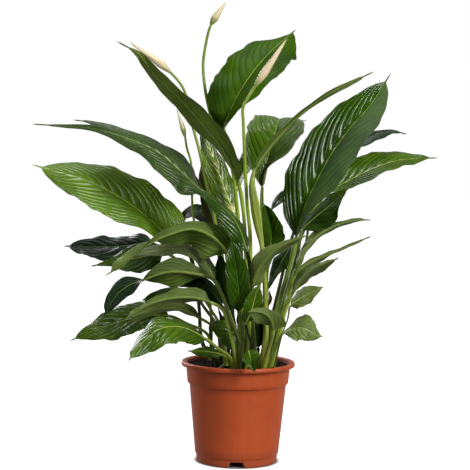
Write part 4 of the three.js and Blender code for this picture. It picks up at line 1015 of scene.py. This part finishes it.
def make_soil(material):
    """A plug of peat whose top is a field of crumbs."""
    top_radius = SHOULDER_TOP_RADIUS - WALL - SOIL_GAP
    foot = FLOOR_TOP + SOIL_FOOT_GAP
    verts, faces = [], []
    for i, _, x, y in around(SOIL_RINGS, SOIL_SIDES):
        radius = top_radius * (i + 1) / SOIL_RINGS
        edge = min(1.0, (top_radius - radius) / 4)
        place = Vector((radius * x, radius * y, 0.0))
        lumps = noise.noise(place * 0.05) * 1.4
        lumps += noise.noise(place * 0.22 + Vector((9, 2, 4))) * SOIL_GRAIN * 0.8
        crumbs = abs(noise.noise(place * 0.6 + Vector((3, 7, 1)))) * SOIL_GRAIN
        height = SOIL_TOP - 0.8 + (lumps + crumbs) * (0.4 + 0.6 * edge)
        verts.append((radius * x, radius * y, height))
    sections = [
        (SHOULDER_FOOT_RADIUS, SHOULDER_FOOT_HEIGHT + STEP_SLOPE),
        (BODY_TOP_RADIUS, SHOULDER_FOOT_HEIGHT), (BODY_FOOT_RADIUS, FOOT_HEIGHT + 2 * STEP_SLOPE),
        (FOOT_TOP_RADIUS, FOOT_HEIGHT + STEP_SLOPE), (FOOT_TOP_RADIUS, foot),
    ]
    for i, _, x, y in around(len(sections), SOIL_SIDES):
        radius = sections[i][0] - WALL - SOIL_GAP
        verts.append((radius * x, radius * y, sections[i][1]))
    last = (SOIL_RINGS + len(sections) - 1) * SOIL_SIDES
    pairs = [(k, (k + 1) % SOIL_SIDES) for k in range(SOIL_SIDES)]
    for start in range(0, last, SOIL_SIDES):
        below = start + SOIL_SIDES
        faces += [(start + k, below + k, below + n, start + n) for k, n in pairs]
    centre = len(verts)
    verts += [(0, 0, SOIL_TOP), (0, 0, foot)]
    for k, n in pairs:
        faces += [(centre, k, n), (centre + 1, last + n, last + k)]
    return mesh_object("peat_plug", verts, faces, [material])


# ---------------------------------------------------------------- build
pot = make_pot(plastic_material())
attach(pot, "root")
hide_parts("pot")
soil = make_soil(peat_material())
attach(soil, "root")
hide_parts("soil")

stems = {
    kind: stalk_material("stalk_" + kind, row[-1], STALK_ROUGHNESS.get(kind, 0.38))
    for kind, row in KINDS.items()}
stems["fresh"] = stalk_material("stalk_fresh", "9eaa46 96a63c 6e801e")
uppers = {kind: blade_material(kind, False) for kind in KINDS}
unders = {kind: blade_material(kind, True) for kind in KINDS}
# One stalk is paler than others of its kind, and those in the shade of the clump get darker stalk
# colours as painted shade.
OTHER_STEMS = {
    "edge_right_leaf": "fresh", "front_small_leaf": "shadow", "centre_arch_leaf": "deep",
    "inner_edge_leaf": "shadow", "shade_leaf": "deep",
}
for name, kind, *measures, others in LEAVES:
    materials = [uppers[kind], unders[kind], stems[OTHER_STEMS.get(name, kind)]]
    leaf = make_leaf(name, materials, *measures, **others)
    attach(leaf, "root")
    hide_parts(name)

flower_green = stalk_material("flower_stalk_finish", "809228 92ac24 768e2e", 0.36, (0.14, 0.6))
cream = spathe_material("spathe_cream", srgb("e2c6a6"))
greenish = spathe_material("spathe_green_foot", srgb("cec896"), 0.24)
pink = spathe_material("spathe_pink", srgb("e8bea8"))
SPATHES = {"right_flower": pink, "top_flower": greenish, "small_flower": greenish}
for name, *measures in FLOWERS:
    stalk, spathe = make_flower(name, *measures, flower_green, SPATHES.get(name, cream))
    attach(stalk, "root")
    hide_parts(name + "_stalk")
    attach(spathe, "root")
    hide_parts(name + "_spathe")

# ---------------------------------------------------------------- floor, light, camera
WHITE = (1.0, 1.0, 1.0)
FLOOR_GREY = (0.22, 0.22, 0.22)
AMBIENT = 0.06
BACKDROP = 0.52
BACKDROP_EDGE = (0.05, 0.7)
FLOOR_GLOW = 1.0
FLOOR_BOUNCE = 0.05
FLOOR_HALF = 12.0
# How wide in metres the ring of painted shadow round the pot's foot is.
SHADE_WIDTH = 0.006
scene = bpy.context.scene
corners = [(x * FLOOR_HALF, y * FLOOR_HALF, 0) for x, y in ((-1, -1), (1, -1), (1, 1), (-1, 1))]
floor_mesh = bpy.data.meshes.new("floor")
floor_mesh.from_pydata(corners, [], [(0, 1, 2, 3)])
floor = link_object("floor", floor_mesh)
n = Finish("pale_floor")
# The floor glows evenly, as a studio's light table does, except for a painted shadow under the pot
# that fades out over a thin ring round its foot.
reach = n.add("VectorMath", {0: n.here()}, operation="LENGTH")["Value"]
beyond = n.math("DIVIDE", n.math("SUBTRACT", reach, FOOT_RADIUS * MM), SHADE_WIDTH)
outside_painted_shadow = n.add("Clamp", {"Value": beyond})[0]
seen = n.add("LightPath")["Is Camera Ray"]
glow = n.math("ADD", n.times(seen, FLOOR_GLOW - FLOOR_BOUNCE), FLOOR_BOUNCE)
glow = n.times(outside_painted_shadow, glow)
floor_mesh.materials.append(
    n.coat(color=FLOOR_GREY, rough=0.9, shine=0.1, glow=glow, glow_color=WHITE))
floor.visible_glossy = False

world = bpy.data.worlds.new("studio")
scene.world = world
world.use_nodes = True
backdrop = world.node_tree.nodes["Background"]
# The backdrop behind the plant is white, and the studio in front of it is dim.
n = Nodes(world.node_tree)
n.feed(backdrop.inputs["Color"], WHITE)
direction = n.split(n.add("TexCoord")["Generated"])
behind = n.span(
    direction[1], *BACKDROP_EDGE, AMBIENT, BACKDROP, interpolation_type="SMOOTHSTEP")
seen = n.add("LightPath")["Is Camera Ray"]
n.feed(backdrop.inputs["Strength"], n.math("MAXIMUM", seen, behind))


def area_light(name, place, target, size, power):
    data = bpy.data.lights.new(name, "AREA")
    data.shape = "RECTANGLE"
    data.size, data.size_y = size
    data.energy = power
    light = link_object(name, data)
    light.location = place
    light.rotation_mode = "QUATERNION"
    light.rotation_quaternion = (Vector(target) - Vector(place)).to_track_quat("-Z", "Y")


# Each light: its place, its target, its width and height in metres, and its power in watts.
area_light("key", (1.7, -1.7, 1.5), (0, 0, 0.35), (0.4, 1.5), 74)
area_light("left_strip", (-1.6, -1.5, 1.2), (0, 0, 0.45), (0.08, 1.3), 13)
area_light("front_strip", (-0.7, -2.0, 1.8), (0, 0, 0.38), (0.12, 0.9), 7)
area_light("back", (-1.3, 1.9, 1.1), (0, 0, 0.35), (0.9, 1.2), 30)
area_light("top", (-0.1, 0.1, 2.6), (0, 0, 0.4), (0.8, 0.8), 24)

camera_data = bpy.data.cameras.new("camera")
camera_data.lens = CAMERA_FOCAL
camera_data.sensor_width = CAMERA_SENSOR
camera_data.clip_end = 100
camera = link_object("camera", camera_data)
ahead = (CAMERA_TARGET - CAMERA_PLACE).normalized()
level = ahead.cross(Vector(UP)).normalized()
above = level.cross(ahead)
right_axis = level * math.cos(CAMERA_ROLL) + above * math.sin(CAMERA_ROLL)
up_axis = above * math.cos(CAMERA_ROLL) - level * math.sin(CAMERA_ROLL)
turn = Matrix((right_axis, up_axis, -ahead)).transposed().to_4x4()
camera.matrix_world = Matrix.Translation(CAMERA_PLACE * MM) @ turn
scene.camera = camera
scene.view_settings.view_transform = "Standard"
scene.view_settings.look = "None"
